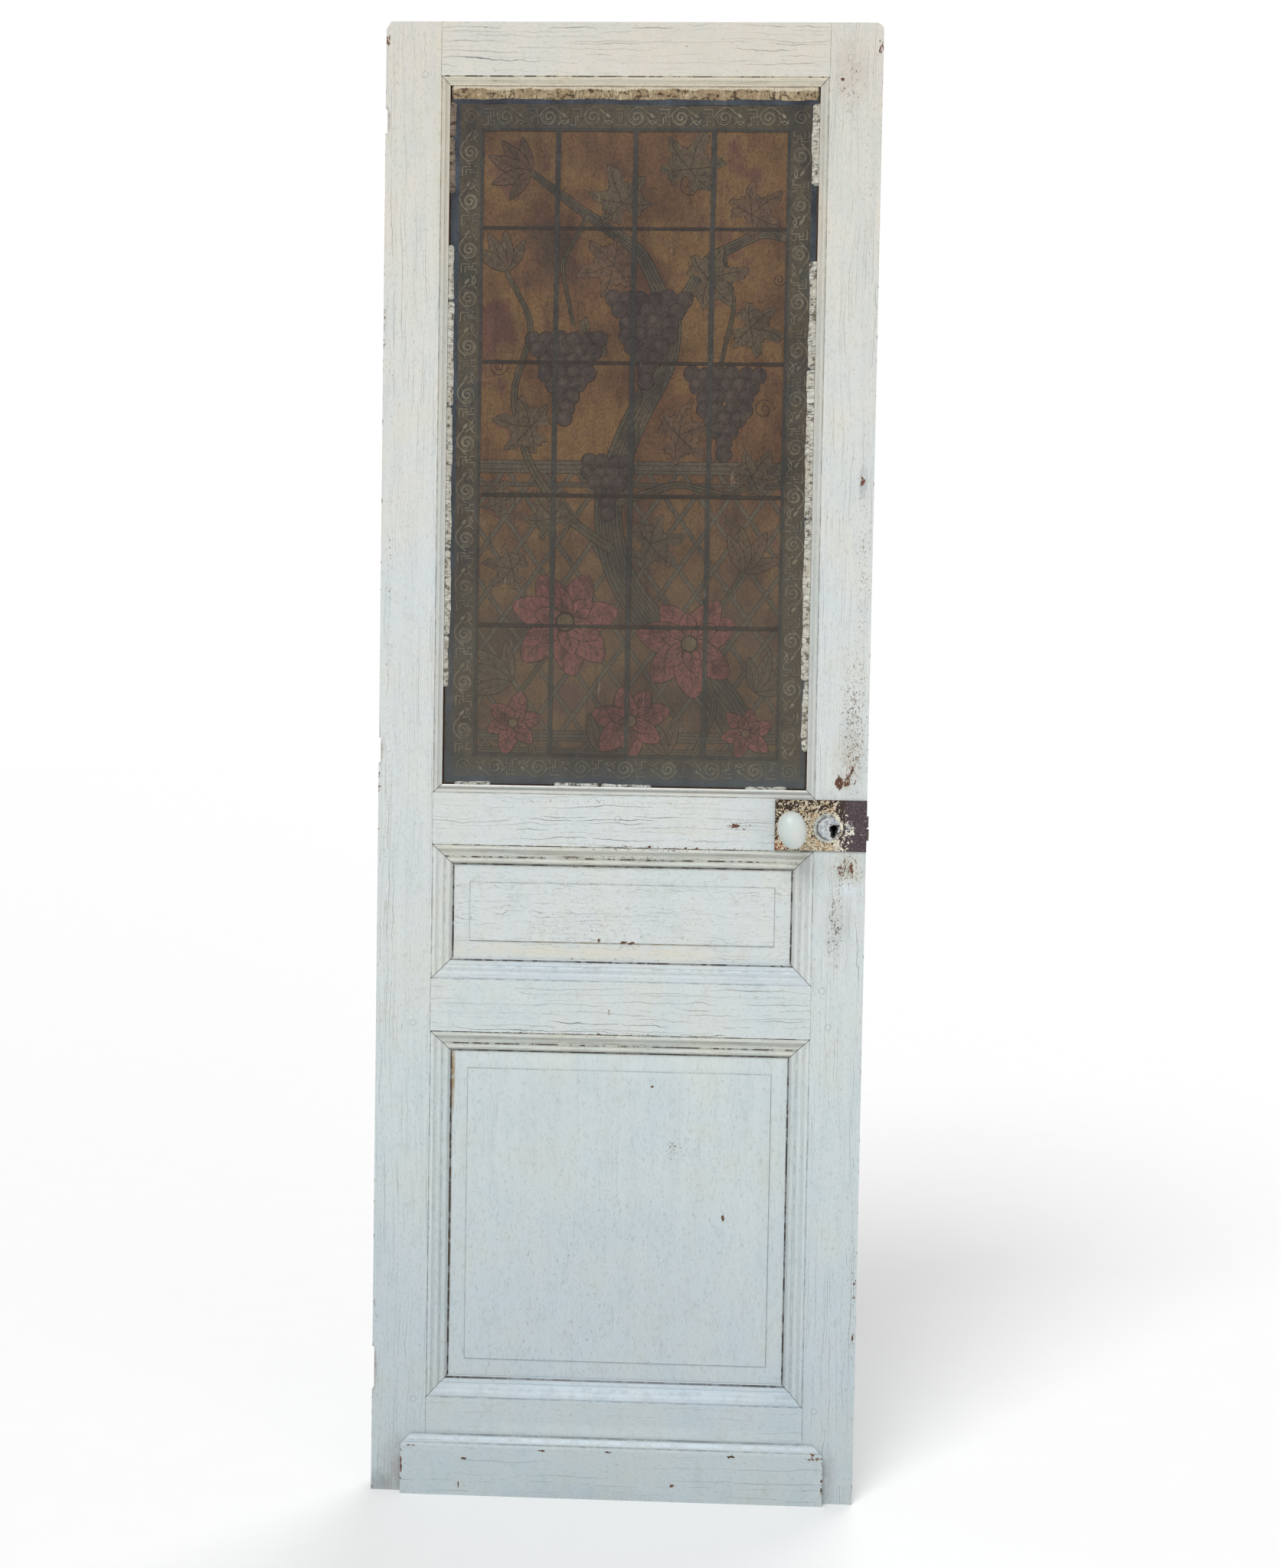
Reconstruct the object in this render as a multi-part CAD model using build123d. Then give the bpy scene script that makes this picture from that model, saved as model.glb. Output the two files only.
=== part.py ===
from build123d import *

import os
from math import cos, pi, sin

# Glazed panel door leaf, millimetres.
# Seen from its glazed front: x runs from the hinge edge, y from mid thickness
# to the back, z from the foot. PLACE moves it to the middle hinge seat.

# Leaf
leaf_width = 730
leaf_thickness = 34
hinge_stile_face = 82
lock_stile_face = 77
bottom_rail_face = 145
lower_opening_height = 560
frieze_rail_face = 79
upper_opening_height = 203
lock_rail_face = 77
glass_opening_height = 1058
top_rail_face = 78

# Stuck moulding, measured from the flat face inwards and down from it
moulding_width = 31
quirk_width = 1.6
quirk_depth = 2.0
fillet_width = 4.6
fillet_drop = 1.2
ogee_width = 11.0
ogee_depth = 6.4
inner_quirk_width = 3
inner_quirk_depth = 1.8
bead_width = 7.8
bead_drop = 7.2
bead_edge_drop = 9.6
sight_drop = 11.5

# Panels
groove_width = 9
groove_depth = 10
tongue_play = 0.5
tongue_end_gap = 2
field_inset_side = 25
field_inset_end = 26
field_height = 2.6
field_bevel = 1.4

# Tenons and pegs
tenon_thickness = 11
tenon_length = 62
tenon_haunch = 12
tenon_play = 0.1
mortise_end_gap = 3
peg_width = 9
peg_sides = 8
# Each peg's side, its inset from that edge and its rise above the rail's flat foot
top_rail_pegs = (("hinge", 58, 1), ("lock", 47, 28))
frieze_rail_pegs = (("hinge", 56, 12), ("lock", 61, 73), ("lock", 51, 19))
bottom_rail_pegs = (("hinge", 63, 142), ("lock", 60, 141))

# Glazing
rebate_start = 13
glass_thickness = 3
glass_lip_front = -4
glass_edge_gap = 1.5
film_thickness = 0.3
film_edge_gap = 1
putty_height = 4.2
putty_toe = 0.8
side_putty_width = 10
top_putty_width = 20
bottom_putty_width = 6
putty_gap = 0.1
# Upright runs: a short one between two drops below the glass opening's head, and a
# long one from a drop below the head to a rise above the opening's foot
left_putty_runs = (36, 170, 244, 158)
right_putty_runs = (36, 156, 264, 70)
# Runs along the foot: the side each is measured from, its inset there and its length
bottom_putty_runs = (("hinge", 30, 56), ("hinge", 180, 148), ("lock", 41, 64))

# Weather board
weather_board_inset = 46
weather_board_height = 90
weather_board_thickness = 11
weather_bevel_height = 15
weather_bevel_depth = 8
weather_corner_clip = 15

# Hinge seats, heights of their centres and how long each is
hinge_seat_depth = 3
hinge_seat_width = 24
short_seat_length = 38
long_seat_length = 67
bottom_seat_centre = 187
middle_seat_centre = 1126
top_seat_centre = 2056
seat_screw_radius = 1.75
seat_screw_depth = 15
short_seat_screw_spacing = 22
long_seat_screw_spacing = 36

# Worn top corners, how far each reaches along the top and down the edge
chip_width = 7
chip_height = 12
worn_corner_radius = 12

# Lock
lock_length = 136
lock_margin = 0.5
cover_plate_thickness = 2.4
case_depth = 14
case_wall = 1.5
case_inset = 3
case_play = 0.4
forend_thickness = 3
forend_width = 22
lock_axis_drop = 3.5
spindle_backset = 112.5
spindle_side = 7
spindle_bore_radius = 10
bolt_projection = 3.6
bolt_head_height = 17
bolt_head_length = 22
bolt_thickness = 9
bolt_play = 0.5
bolt_split = 2
latch_tail_height = 8
latch_tail_length = 70
latch_bevel = 3
dead_bolt_length = 34

# Keyhole boss and back escutcheon
boss_backset = 57
boss_radius = 22
boss_flange = 1.6
boss_step_radius = 17.5
boss_height = 4.6
boss_bevel = 1.2
keyhole_offset = 8
keyhole_radius = 4.5
keyhole_slot_width = 4
keyhole_slot_length = 11
escutcheon_radius = 19
escutcheon_thickness = 2.4

# Knobs
egg_length = 62
egg_width = 43
egg_blunt_share = 0.46
egg_sides = 24
egg_steps = 10
egg_end_share = 0.25
egg_lean = 11
knob_projection = 60
neck_gap = 1
neck_base_radius = 11
neck_base_height = 3
neck_waist_radius = 8
neck_seat = 3
rose_radius = 24
rose_thickness = 5
rose_bevel = 1.5
spindle_engagement = 12

# Lines worked out from the sizes above
front = -leaf_thickness / 2
back = leaf_thickness / 2
lock_edge = leaf_width
left_shoulder = hinge_stile_face
right_shoulder = leaf_width - lock_stile_face
lower_foot = bottom_rail_face
lower_head = lower_foot + lower_opening_height
upper_foot = lower_head + frieze_rail_face
upper_head = upper_foot + upper_opening_height
glass_foot = upper_head + lock_rail_face
glass_head = glass_foot + glass_opening_height
leaf_height = glass_head + top_rail_face
opening_width = right_shoulder - left_shoulder
glass_front = glass_lip_front - glass_thickness
film_front = glass_front - film_thickness
putty_back = film_front - putty_gap
glass_edge = rebate_start + glass_edge_gap
film_edge = glass_edge + film_edge_gap
seat_screw_y = front + hinge_seat_width / 2
lock_top = glass_foot - lock_margin
lock_foot = upper_head + lock_margin
lock_axis = (lock_top + lock_foot) / 2 - lock_axis_drop
lock_back_end = lock_edge - lock_length
plate_front = front - cover_plate_thickness
spindle_x = lock_edge - spindle_backset
boss_x = lock_edge - boss_backset
keyhole_x = boss_x + keyhole_offset

PLACE = Pos(-hinge_seat_depth, 0, -middle_seat_centre)


def block(x_from, x_to, y_from, y_to, z_from, z_to):
    """A square-edged block between its two corners."""
    size = (x_to - x_from, y_to - y_from, z_to - z_from)
    return Pos(x_from, y_from, z_from) * Box(*size, align=(Align.MIN,) * 3)


def rod(x, z, radius, y_from, y_to):
    """A round rod through the thickness."""
    disc = Plane((x, y_to, z), x_dir=(1, 0, 0), z_dir=(0, -1, 0)) * Circle(radius)
    return extrude(disc, y_to - y_from)


def prism(x, z, width, sides, y_from, y_to):
    """A rod through the thickness with flat sides, as wide as stated across them."""
    plane = Plane((x, y_to, z), x_dir=(1, 0, 0), z_dir=(0, -1, 0))
    outline = RegularPolygon(width / 2, sides, major_radius=False)
    return extrude(plane * outline, y_to - y_from)


def write(name, *pieces):
    """One STEP file for one node, moved to the leaf's own origin."""
    solids = [PLACE * solid for piece in pieces for solid in piece.solids()]
    shape = solids[0] if len(solids) == 1 else Compound(children=solids)
    shape.label = name
    export_step(shape, f"parts/{name}.step")
    print(name, len(solids), "solids", round(shape.volume))


def moulded_face(start_depth):
    """The moulded line of one face from its flat to the sight edge, as depth below
    the face: a quirk, a small fillet, an ogee, an inner quirk, a bead and a slope."""
    at = start_depth
    fillet_start = quirk_width
    ogee_start = fillet_start + fillet_width
    ogee_end = ogee_start + ogee_width
    ogee_mid = (ogee_start + ogee_end) / 2
    bead_start = ogee_end + inner_quirk_width
    bead_end = bead_start + bead_width
    ogee_low = fillet_drop + ogee_depth
    ogee_half = fillet_drop + ogee_depth / 2
    return [
        Polyline((0, at), (quirk_width / 2, at + quirk_depth), (fillet_start, at + fillet_drop)),
        ThreePointArc(
            (fillet_start, at + fillet_drop),
            ((fillet_start + ogee_start) / 2, at + fillet_drop / 2),
            (ogee_start, at + fillet_drop),
        ),
        ThreePointArc(
            (ogee_start, at + fillet_drop),
            (ogee_start + ogee_width * 0.18, at + fillet_drop + ogee_depth * 0.34),
            (ogee_mid, at + ogee_half),
        ),
        ThreePointArc(
            (ogee_mid, at + ogee_half),
            (ogee_end - ogee_width * 0.18, at + ogee_low - ogee_depth * 0.34),
            (ogee_end, at + ogee_low),
        ),
        Polyline(
            (ogee_end, at + ogee_low),
            (ogee_end + inner_quirk_width / 2, at + ogee_low + inner_quirk_depth),
            (bead_start, at + bead_edge_drop),
        ),
        ThreePointArc(
            (bead_start, at + bead_edge_drop),
            ((bead_start + bead_end) / 2, at + bead_drop),
            (bead_end, at + bead_edge_drop),
        ),
        Line((bead_end, at + bead_edge_drop), (moulding_width, at + sight_drop)),
    ]


def mirrored_back(edges):
    """The same line on the back face."""
    return [mirror(edge, Plane.XZ) for edge in edges]


def panel_profile():
    """Both moulded faces with the panel groove between them."""
    face = moulded_face(front)
    groove_face = groove_width / 2
    groove_foot = moulding_width - groove_depth
    sight = front + sight_drop
    inner = Polyline(
        (moulding_width, sight),
        (moulding_width, -groove_face),
        (groove_foot, -groove_face),
        (groove_foot, groove_face),
        (moulding_width, groove_face),
        (moulding_width, -sight),
    )
    flat = Line((0, back), (0, front))
    return make_face(Curve() + face + [inner] + mirrored_back(face) + [flat])


def glass_profile():
    """The moulding cut away in front of the glass by its rebate."""
    rebate = Pos(rebate_start, front) * Rectangle(
        moulding_width, glass_lip_front - front, align=(Align.MIN, Align.MIN)
    )
    groove = Rectangle(moulding_width, groove_width, align=(Align.MIN, Align.CENTER))
    return panel_profile() + groove - rebate


def mitred_side(profile, length):
    """A length of moulding with its ends cut at 45 degrees."""
    width = moulding_width
    outline = Polyline((0, 0), (width, width), (width, length - width), (0, length), close=True)
    cutter = extrude(Plane.XZ * make_face(outline), leaf_thickness, both=True)
    return extrude(profile, length, dir=(0, 0, 1)) & cutter


def opening_sides(profile, foot, head):
    """The four mitred mouldings round one opening, by the side they stand on."""
    upright = mitred_side(profile, head - foot)
    level = mitred_side(profile, opening_width)
    return {
        "hinge": Plane((left_shoulder, 0, foot), x_dir=(1, 0, 0), z_dir=(0, 0, 1)) * upright,
        "lock": Plane((right_shoulder, 0, head), x_dir=(-1, 0, 0), z_dir=(0, 0, -1)) * upright,
        "under": Plane((right_shoulder, 0, foot), x_dir=(0, 0, 1), z_dir=(-1, 0, 0)) * level,
        "over": Plane((left_shoulder, 0, head), x_dir=(0, 0, -1), z_dir=(1, 0, 0)) * level,
    }


def tenons(name, play=0, end_gap=0):
    """The two tenons of a rail, or with play and a gap the mortises that take them.
    They reach past the flat as far as the groove or the rebate lets them."""
    foot, head = rails[name]
    below, above = tenon_reach[name]
    reach = tenon_length + end_gap
    half = tenon_thickness / 2 + play
    made = []
    for low, high, inward in (
        (foot - below - play, foot, below + play),
        (foot + max(-below, 0) - play, head - max(-above, 0) + play, 0),
        (head, head + above + play, above + play),
    ):
        if high <= low or inward < 0:
            continue
        made.append(block(left_shoulder - reach, left_shoulder + inward, -half, half, low, high))
        made.append(block(right_shoulder - inward, right_shoulder + reach, -half, half, low, high))
    return made[0].fuse(*made[1:])


def mortises(name):
    return tenons(name, tenon_play, mortise_end_gap)


def rail(name, *mouldings):
    foot, head = rails[name]
    board = block(left_shoulder, right_shoulder, front, back, foot, head)
    for moulding in mouldings:
        board += moulding
    board += tenons(name)
    return board.cut(*peg_rods(name)) if name in pegs else board


rails = {
    "bottom_rail": (0, lower_foot),
    "frieze_rail": (lower_head, upper_foot),
    "lock_rail": (upper_head, glass_foot),
    "top_rail": (glass_head, leaf_height),
}

# How far each rail's tenons pass its flat below and above, less than nothing at a haunch
to_groove = moulding_width - groove_depth
to_rebate = rebate_start
tenon_reach = {
    "bottom_rail": (-tenon_haunch, to_groove),
    "frieze_rail": (to_groove, to_groove),
    "lock_rail": (to_groove, to_rebate),
    "top_rail": (to_rebate, -tenon_haunch),
}
pegs = {
    "top_rail": top_rail_pegs,
    "frieze_rail": frieze_rail_pegs,
    "bottom_rail": bottom_rail_pegs,
}


def peg_rods(name):
    """A rail's pegs, cut to eight sides and driven tight, which also cut their ways."""
    made = []
    for side, inset, rise in pegs.get(name, ()):
        x = inset if side == "hinge" else leaf_width - inset
        z = rails[name][0] + rise
        made.append(prism(x, z, peg_width, peg_sides, front, back))
    return made


def hinge_seats():
    """The recesses in the hinge edge, each with its two screw holes."""
    reach = seat_screw_depth + hinge_seat_depth
    cuts = []
    for centre, length, spacing in (
        (bottom_seat_centre, long_seat_length, long_seat_screw_spacing),
        (middle_seat_centre, short_seat_length, short_seat_screw_spacing),
        (top_seat_centre, short_seat_length, short_seat_screw_spacing),
    ):
        seat = (front, front + hinge_seat_width, centre - length / 2, centre + length / 2)
        cuts.append(block(0, hinge_seat_depth, *seat))
        for side in (-1, 1):
            hole = Plane((0, seat_screw_y, centre + side * spacing / 2), z_dir=(1, 0, 0))
            cuts.append(extrude(hole * Circle(seat_screw_radius), reach))
    return cuts


panel_moulding = panel_profile()
lower_sides = opening_sides(panel_moulding, lower_foot, lower_head)
upper_sides = opening_sides(panel_moulding, upper_foot, upper_head)
glass_sides = opening_sides(glass_profile(), glass_foot, glass_head)


def lock_cut():
    """The recess for the case, the edge plate's seat and the spindle's bore."""
    case = block(
        lock_back_end + case_inset - case_play,
        lock_edge,
        front,
        front + case_depth + case_play,
        lock_foot + case_inset - case_play,
        lock_top - case_inset + case_play,
    )
    seat = block(
        lock_edge - forend_thickness,
        lock_edge,
        front,
        front + forend_width,
        lock_foot,
        lock_top,
    )
    bore = rod(spindle_x, lock_axis, spindle_bore_radius, front, back)
    return case + seat + bore + keyhole(front, back)


def worn_corner(side):
    """The wood gone from a stile's top corner: a chip, or a corner worn round."""
    if side == "hinge":
        outline = Polyline(
            (0, leaf_height - chip_height),
            (chip_width, leaf_height),
            (0, leaf_height),
            close=True,
        )
    else:
        radius = worn_corner_radius
        middle = radius * (1 - 0.5**0.5)
        outline = Curve() + [
            ThreePointArc(
                (lock_edge - radius, leaf_height),
                (lock_edge - middle, leaf_height - middle),
                (lock_edge, leaf_height - radius),
            ),
            Polyline(
                (lock_edge, leaf_height - radius),
                (lock_edge, leaf_height),
                (lock_edge - radius, leaf_height),
            ),
        ]
    return extrude(Plane.XZ * make_face(outline), leaf_thickness, both=True)


def stile(edge, shoulder, side):
    board = block(min(edge, shoulder), max(edge, shoulder), front, back, 0, leaf_height)
    for sides in (lower_sides, upper_sides, glass_sides):
        board += sides[side]
    cuts = [mortises(name) for name in rails]
    cuts.append(worn_corner(side))
    for name in pegs:
        cuts.extend(peg_rods(name))
    return board.cut(*cuts)


def panel(foot, head):
    """A panel tongued all round, with a raised field on both faces."""
    tongue = groove_depth - tongue_end_gap
    sight = (
        left_shoulder + moulding_width,
        right_shoulder - moulding_width,
        foot + moulding_width,
        head - moulding_width,
    )
    half = groove_width / 2 - tongue_play
    board = block(
        sight[0] - tongue, sight[1] + tongue, -half, half, sight[2] - tongue, sight[3] + tongue
    )
    centre = ((sight[0] + sight[1]) / 2, (sight[2] + sight[3]) / 2)
    width = sight[1] - sight[0] - 2 * field_inset_side
    height = sight[3] - sight[2] - 2 * field_inset_end
    for outward in (-1, 1):
        base = Plane((centre[0], outward * half, centre[1]), x_dir=(1, 0, 0), z_dir=(0, outward, 0))
        top = base.offset(field_height)
        wide = base * Rectangle(width, height)
        narrow = top * Rectangle(width - 2 * field_bevel, height - 2 * field_bevel)
        board += loft([wide, narrow])
    return board


def weather_board():
    """A board planted on the foot, its top bevelled to shed water, its corners clipped."""
    left = weather_board_inset
    right = leaf_width - weather_board_inset
    depth = weather_board_thickness
    section = Polyline(
        (front, 0),
        (front - depth, 0),
        (front - depth, weather_board_height - weather_bevel_height),
        (front - depth + weather_bevel_depth, weather_board_height),
        (front, weather_board_height),
        close=True,
    )
    board = extrude(Plane.YZ.offset(left) * make_face(section), right - left, dir=(1, 0, 0))
    clip = weather_corner_clip
    for x, inward in ((left, 1), (right, -1)):
        corner = Polyline(
            (x, weather_board_height - clip),
            (x + inward * clip, weather_board_height),
            (x, weather_board_height),
            close=True,
        )
        board -= extrude(Plane.XZ.offset(-front) * make_face(corner), depth, dir=(0, -1, 0))
    return board


def putty_run(from_end, to_end, width, place):
    """A bevelled fillet of putty between the rebate's wall and the glass."""
    height = putty_height
    section = Polyline((0, 0), (width, 0), (width, -putty_toe), (0, -height), close=True)
    return place(extrude(make_face(section), to_end - from_end, dir=(0, 0, 1)), from_end)


def upright_putty(side):
    inward = rebate_start + putty_gap

    def place(run, start):
        if side == "left":
            return Pos(left_shoulder + inward, putty_back, start) * run
        return Pos(right_shoulder - inward, putty_back, start) * mirror(run, Plane.YZ)

    return place


def level_putty(wall, upward):
    def place(run, start):
        plane = Plane((start, putty_back, wall), x_dir=(0, 0, upward), z_dir=(1, 0, 0))
        return plane * (run if upward < 0 else mirror(run, Plane.XZ))

    return place


def egg(centre_y):
    """A porcelain egg of flats, its long axis upright and leaning, blunter at the top.
    Its rings of corners follow two half ellipses that meet at the widest place."""
    blunt = egg_length * egg_blunt_share
    sharp = egg_length - blunt
    rings = []
    end_turn = pi * egg_end_share / egg_steps
    for step in range(egg_steps + 1):
        turn = end_turn + (pi - 2 * end_turn) * step / egg_steps
        reach_up = blunt if turn < pi / 2 else sharp
        height = reach_up * cos(turn) / cos(end_turn)
        corners = []
        for side in range(egg_sides):
            around = 2 * pi * side / egg_sides
            reach = egg_width / 2 * sin(turn)
            corners.append((reach * cos(around), reach * sin(around), height))
        rings.append(corners)
    flats = [rings[0], rings[-1]]
    for upper, lower in zip(rings, rings[1:]):
        for side in range(egg_sides):
            beside = (side + 1) % egg_sides
            flats.append((upper[side], upper[beside], lower[beside], lower[side]))
    stack = Solid(Shell([Face(Wire.make_polygon(flat)) for flat in flats]))
    lean = Rot(0, -egg_lean, 0)
    middle = (blunt - sharp) / 2
    return Pos(spindle_x, centre_y, lock_axis) * lean * Pos(0, 0, -middle) * stack


def neck(foot_y, egg_centre_y):
    """A turned metal neck between the plate and the egg, on a wider foot."""
    outward = 1 if egg_centre_y > foot_y else -1
    length = abs(egg_centre_y - foot_y) - egg_width / 2 + neck_seat
    foot = (foot_y, foot_y + outward * neck_base_height)
    waist = (foot_y, foot_y + outward * length)
    turned = rod(spindle_x, lock_axis, neck_base_radius, min(foot), max(foot))
    return turned + rod(spindle_x, lock_axis, neck_waist_radius, min(waist), max(waist))


def keyhole(y_from, y_to):
    """A round hole with a slot hanging from it."""
    slot = block(
        keyhole_x - keyhole_slot_width / 2,
        keyhole_x + keyhole_slot_width / 2,
        y_from,
        y_to,
        lock_axis - keyhole_slot_length,
        lock_axis,
    )
    return rod(keyhole_x, lock_axis, keyhole_radius, y_from, y_to) + slot


os.makedirs("parts", exist_ok=True)

# Frame
write("hinge_stile", stile(0, left_shoulder, "hinge").cut(*hinge_seats()))
lock_recess = lock_cut()
write("lock_stile", stile(lock_edge, right_shoulder, "lock") - lock_recess)
rail_mouldings = {
    "bottom_rail": [lower_sides["under"]],
    "frieze_rail": [lower_sides["over"], upper_sides["under"]],
    "lock_rail": [upper_sides["over"], glass_sides["under"]],
    "top_rail": [glass_sides["over"]],
}
for rail_name, mouldings in rail_mouldings.items():
    made = rail(rail_name, *mouldings)
    if rail_name == "lock_rail":
        made -= lock_recess
    write(rail_name, made)
write("pegs", *[peg for rail_name in pegs for peg in peg_rods(rail_name)])

# Panels and weather board
write("lower_panel", panel(lower_foot, lower_head))
write("upper_panel", panel(upper_foot, upper_head))
write("weather_board", weather_board())

# Glass, film and putty
write(
    "glass_pane",
    block(
        left_shoulder + glass_edge,
        right_shoulder - glass_edge,
        glass_front,
        glass_lip_front,
        glass_foot + glass_edge,
        glass_head - glass_edge,
    ),
)
write(
    "printed_film",
    block(
        left_shoulder + film_edge,
        right_shoulder - film_edge,
        film_front,
        glass_front,
        glass_foot + film_edge,
        glass_head - film_edge,
    ),
)
for side, (near, far, start, rise) in (("left", left_putty_runs), ("right", right_putty_runs)):
    place = upright_putty(side)
    runs = ((glass_head - far, glass_head - near), (glass_foot + rise, glass_head - start))
    write(f"putty_{side}", *[putty_run(*run, side_putty_width, place) for run in runs])
top_wall = glass_head - rebate_start - putty_gap
bottom_wall = glass_foot + rebate_start + putty_gap
top_run = (left_shoulder + glass_edge, right_shoulder - glass_edge)
write("putty_top", putty_run(*top_run, top_putty_width, level_putty(top_wall, -1)))
bottom_place = level_putty(bottom_wall, 1)
runs = []
for side, inset, length in bottom_putty_runs:
    start = left_shoulder + inset if side == "hinge" else right_shoulder - inset - length
    runs.append(putty_run(start, start + length, bottom_putty_width, bottom_place))
write("putty_bottom", *runs)

# Lock
case_outer = block(
    lock_back_end + case_inset,
    lock_edge - forend_thickness,
    front,
    front + case_depth,
    lock_foot + case_inset,
    lock_top - case_inset,
)
case_inner = block(
    lock_back_end + case_inset + case_wall,
    lock_edge - forend_thickness,
    front,
    front + case_depth - case_wall,
    lock_foot + case_inset + case_wall,
    lock_top - case_inset - case_wall,
)
back_face = back + rose_thickness
spindle_hole = rod(spindle_x, lock_axis, spindle_bore_radius, plate_front, back_face)
key_hole = keyhole(plate_front - boss_height, back + escutcheon_thickness)
write("lock_case", case_outer - case_inner - spindle_hole - key_hole)
cover = block(lock_back_end, lock_edge, plate_front, front, lock_foot, lock_top)
write("lock_cover_plate", cover - spindle_hole - key_hole)

bolt_back = front + case_depth - case_wall - bolt_play
bolt_front = bolt_back - bolt_thickness
latch_foot = lock_axis + bolt_split / 2
dead_head = lock_axis - bolt_split / 2


def bolt_way(foot, head):
    return block(
        lock_edge - bolt_head_length,
        lock_edge,
        bolt_front - bolt_play,
        bolt_back + bolt_play,
        foot - bolt_play,
        head + bolt_play,
    )


forend = block(
    lock_edge - forend_thickness, lock_edge, front, front + forend_width, lock_foot, lock_top
)
forend -= bolt_way(latch_foot, latch_foot + bolt_head_height)
forend -= bolt_way(dead_head - bolt_head_height, dead_head)
write("lock_forend", forend)

bolt_nose = lock_edge + bolt_projection
latch_outline = Polyline(
    (bolt_nose - bolt_head_length, bolt_front),
    (bolt_nose - latch_bevel, bolt_front),
    (bolt_nose, bolt_back - latch_bevel),
    (bolt_nose, bolt_back),
    (bolt_nose - bolt_head_length, bolt_back),
    close=True,
)
latch_face = Pos(0, 0, latch_foot) * make_face(latch_outline)
latch_head = extrude(latch_face, bolt_head_height, dir=(0, 0, 1))
latch_top = latch_foot + bolt_head_height
latch_tail = block(
    bolt_nose - bolt_head_length - latch_tail_length,
    bolt_nose - bolt_head_length,
    bolt_front,
    bolt_back,
    latch_top - latch_tail_height,
    latch_top,
)
write("latch_bolt", latch_head + latch_tail)
write(
    "dead_bolt",
    block(
        bolt_nose - dead_bolt_length,
        bolt_nose,
        bolt_front,
        bolt_back,
        dead_head - bolt_head_height,
        dead_head,
    ),
)

# Keyhole boss and back escutcheon
boss = rod(boss_x, lock_axis, boss_radius, plate_front - boss_flange, plate_front)
raised = rod(boss_x, lock_axis, boss_step_radius, plate_front - boss_height, plate_front)
raised = chamfer(raised.edges().group_by(Axis.Y)[0], boss_bevel)
write("keyhole_boss", boss + raised - key_hole)
escutcheon = rod(keyhole_x, lock_axis, escutcheon_radius, back, back + escutcheon_thickness)
write("back_key_escutcheon", escutcheon - key_hole)

# Knobs
front_egg_y = plate_front - knob_projection + egg_width / 2
back_egg_y = back + cover_plate_thickness + knob_projection - egg_width / 2
rose = rod(spindle_x, lock_axis, rose_radius, back, back_face)
rose = chamfer(rose.edges().group_by(Axis.Y)[-1], rose_bevel)
write("back_knob_rose", rose - spindle_hole)
front_neck_foot = plate_front - neck_gap
back_neck_foot = back_face + neck_gap
half_side = spindle_side / 2
spindle_from = front_neck_foot - spindle_engagement
spindle_to = back_neck_foot + spindle_engagement
spindle = block(
    spindle_x - half_side,
    spindle_x + half_side,
    spindle_from,
    spindle_to,
    lock_axis - half_side,
    lock_axis + half_side,
)
write("spindle", spindle)
eggs = []
necks = []
for foot_y, egg_y in ((front_neck_foot, front_egg_y), (back_neck_foot, back_egg_y)):
    porcelain = egg(egg_y)
    eggs.append(porcelain)
    necks.append(neck(foot_y, egg_y) - spindle - porcelain)
write("knobs", *eggs)
write("knob_necks", *necks)
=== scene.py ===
# %% [markdown]
# # An old glazed door, dressed for the camera
# The solid pieces of this door leaf come from a CAD model: stiles, rails, panels, glass and lock,
# each at its real size. Blender adds what a solid can't say: old paint, dirt and painted shade in
# the mouldings, crumbling putty, the printed film in front of the glass, glazed porcelain, rust, and
# light.

from math import radians

import bmesh
import bpy
import numpy as np
from mathutils import Matrix, Vector


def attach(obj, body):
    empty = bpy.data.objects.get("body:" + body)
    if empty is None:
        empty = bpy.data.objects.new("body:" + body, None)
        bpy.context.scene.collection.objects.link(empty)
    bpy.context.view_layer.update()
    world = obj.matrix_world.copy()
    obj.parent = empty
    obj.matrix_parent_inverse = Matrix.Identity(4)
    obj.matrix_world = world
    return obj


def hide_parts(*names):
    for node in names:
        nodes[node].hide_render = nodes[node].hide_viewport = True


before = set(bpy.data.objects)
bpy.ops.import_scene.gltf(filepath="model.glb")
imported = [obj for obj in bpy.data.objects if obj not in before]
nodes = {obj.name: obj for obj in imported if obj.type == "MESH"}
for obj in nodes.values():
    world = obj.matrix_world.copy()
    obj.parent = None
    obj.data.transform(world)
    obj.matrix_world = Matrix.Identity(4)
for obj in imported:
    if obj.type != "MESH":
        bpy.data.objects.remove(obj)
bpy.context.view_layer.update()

# %% [markdown]
# ## Where things are
# The door stands with its origin on the middle hinge seat, which is handy for hanging it and awkward
# for describing it. A joiner measures from the hinge edge and the foot, in millimetres, so every
# place below is given that way and turned into metres here.

# %% Leaf measures
HINGE_SEAT = 3.0
SEAT_HEIGHT = 1126.0
LEAF_WIDTH, LEAF_HEIGHT = 730.0, 2200.0
LEFT_SHOULDER, RIGHT_SHOULDER = 82.0, 653.0
OPENINGS = {"lower": (145.0, 705.0), "upper": (784.0, 987.0), "glass": (1064.0, 2122.0)}
MOULDING = 31.0
FILM_FRONT = -7.3


def on_leaf(x, y, z):
    """Points in metres from millimetres across the leaf, through it and up it."""
    x, y, z = np.broadcast_arrays(np.asarray(x, float), y, z)
    return np.stack([(x - HINGE_SEAT) / 1000, y / 1000, (z - SEAT_HEIGHT) / 1000], axis=-1)


print("foot and head of the leaf:", on_leaf(0, 0, [0, LEAF_HEIGHT])[:, 2])

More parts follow.
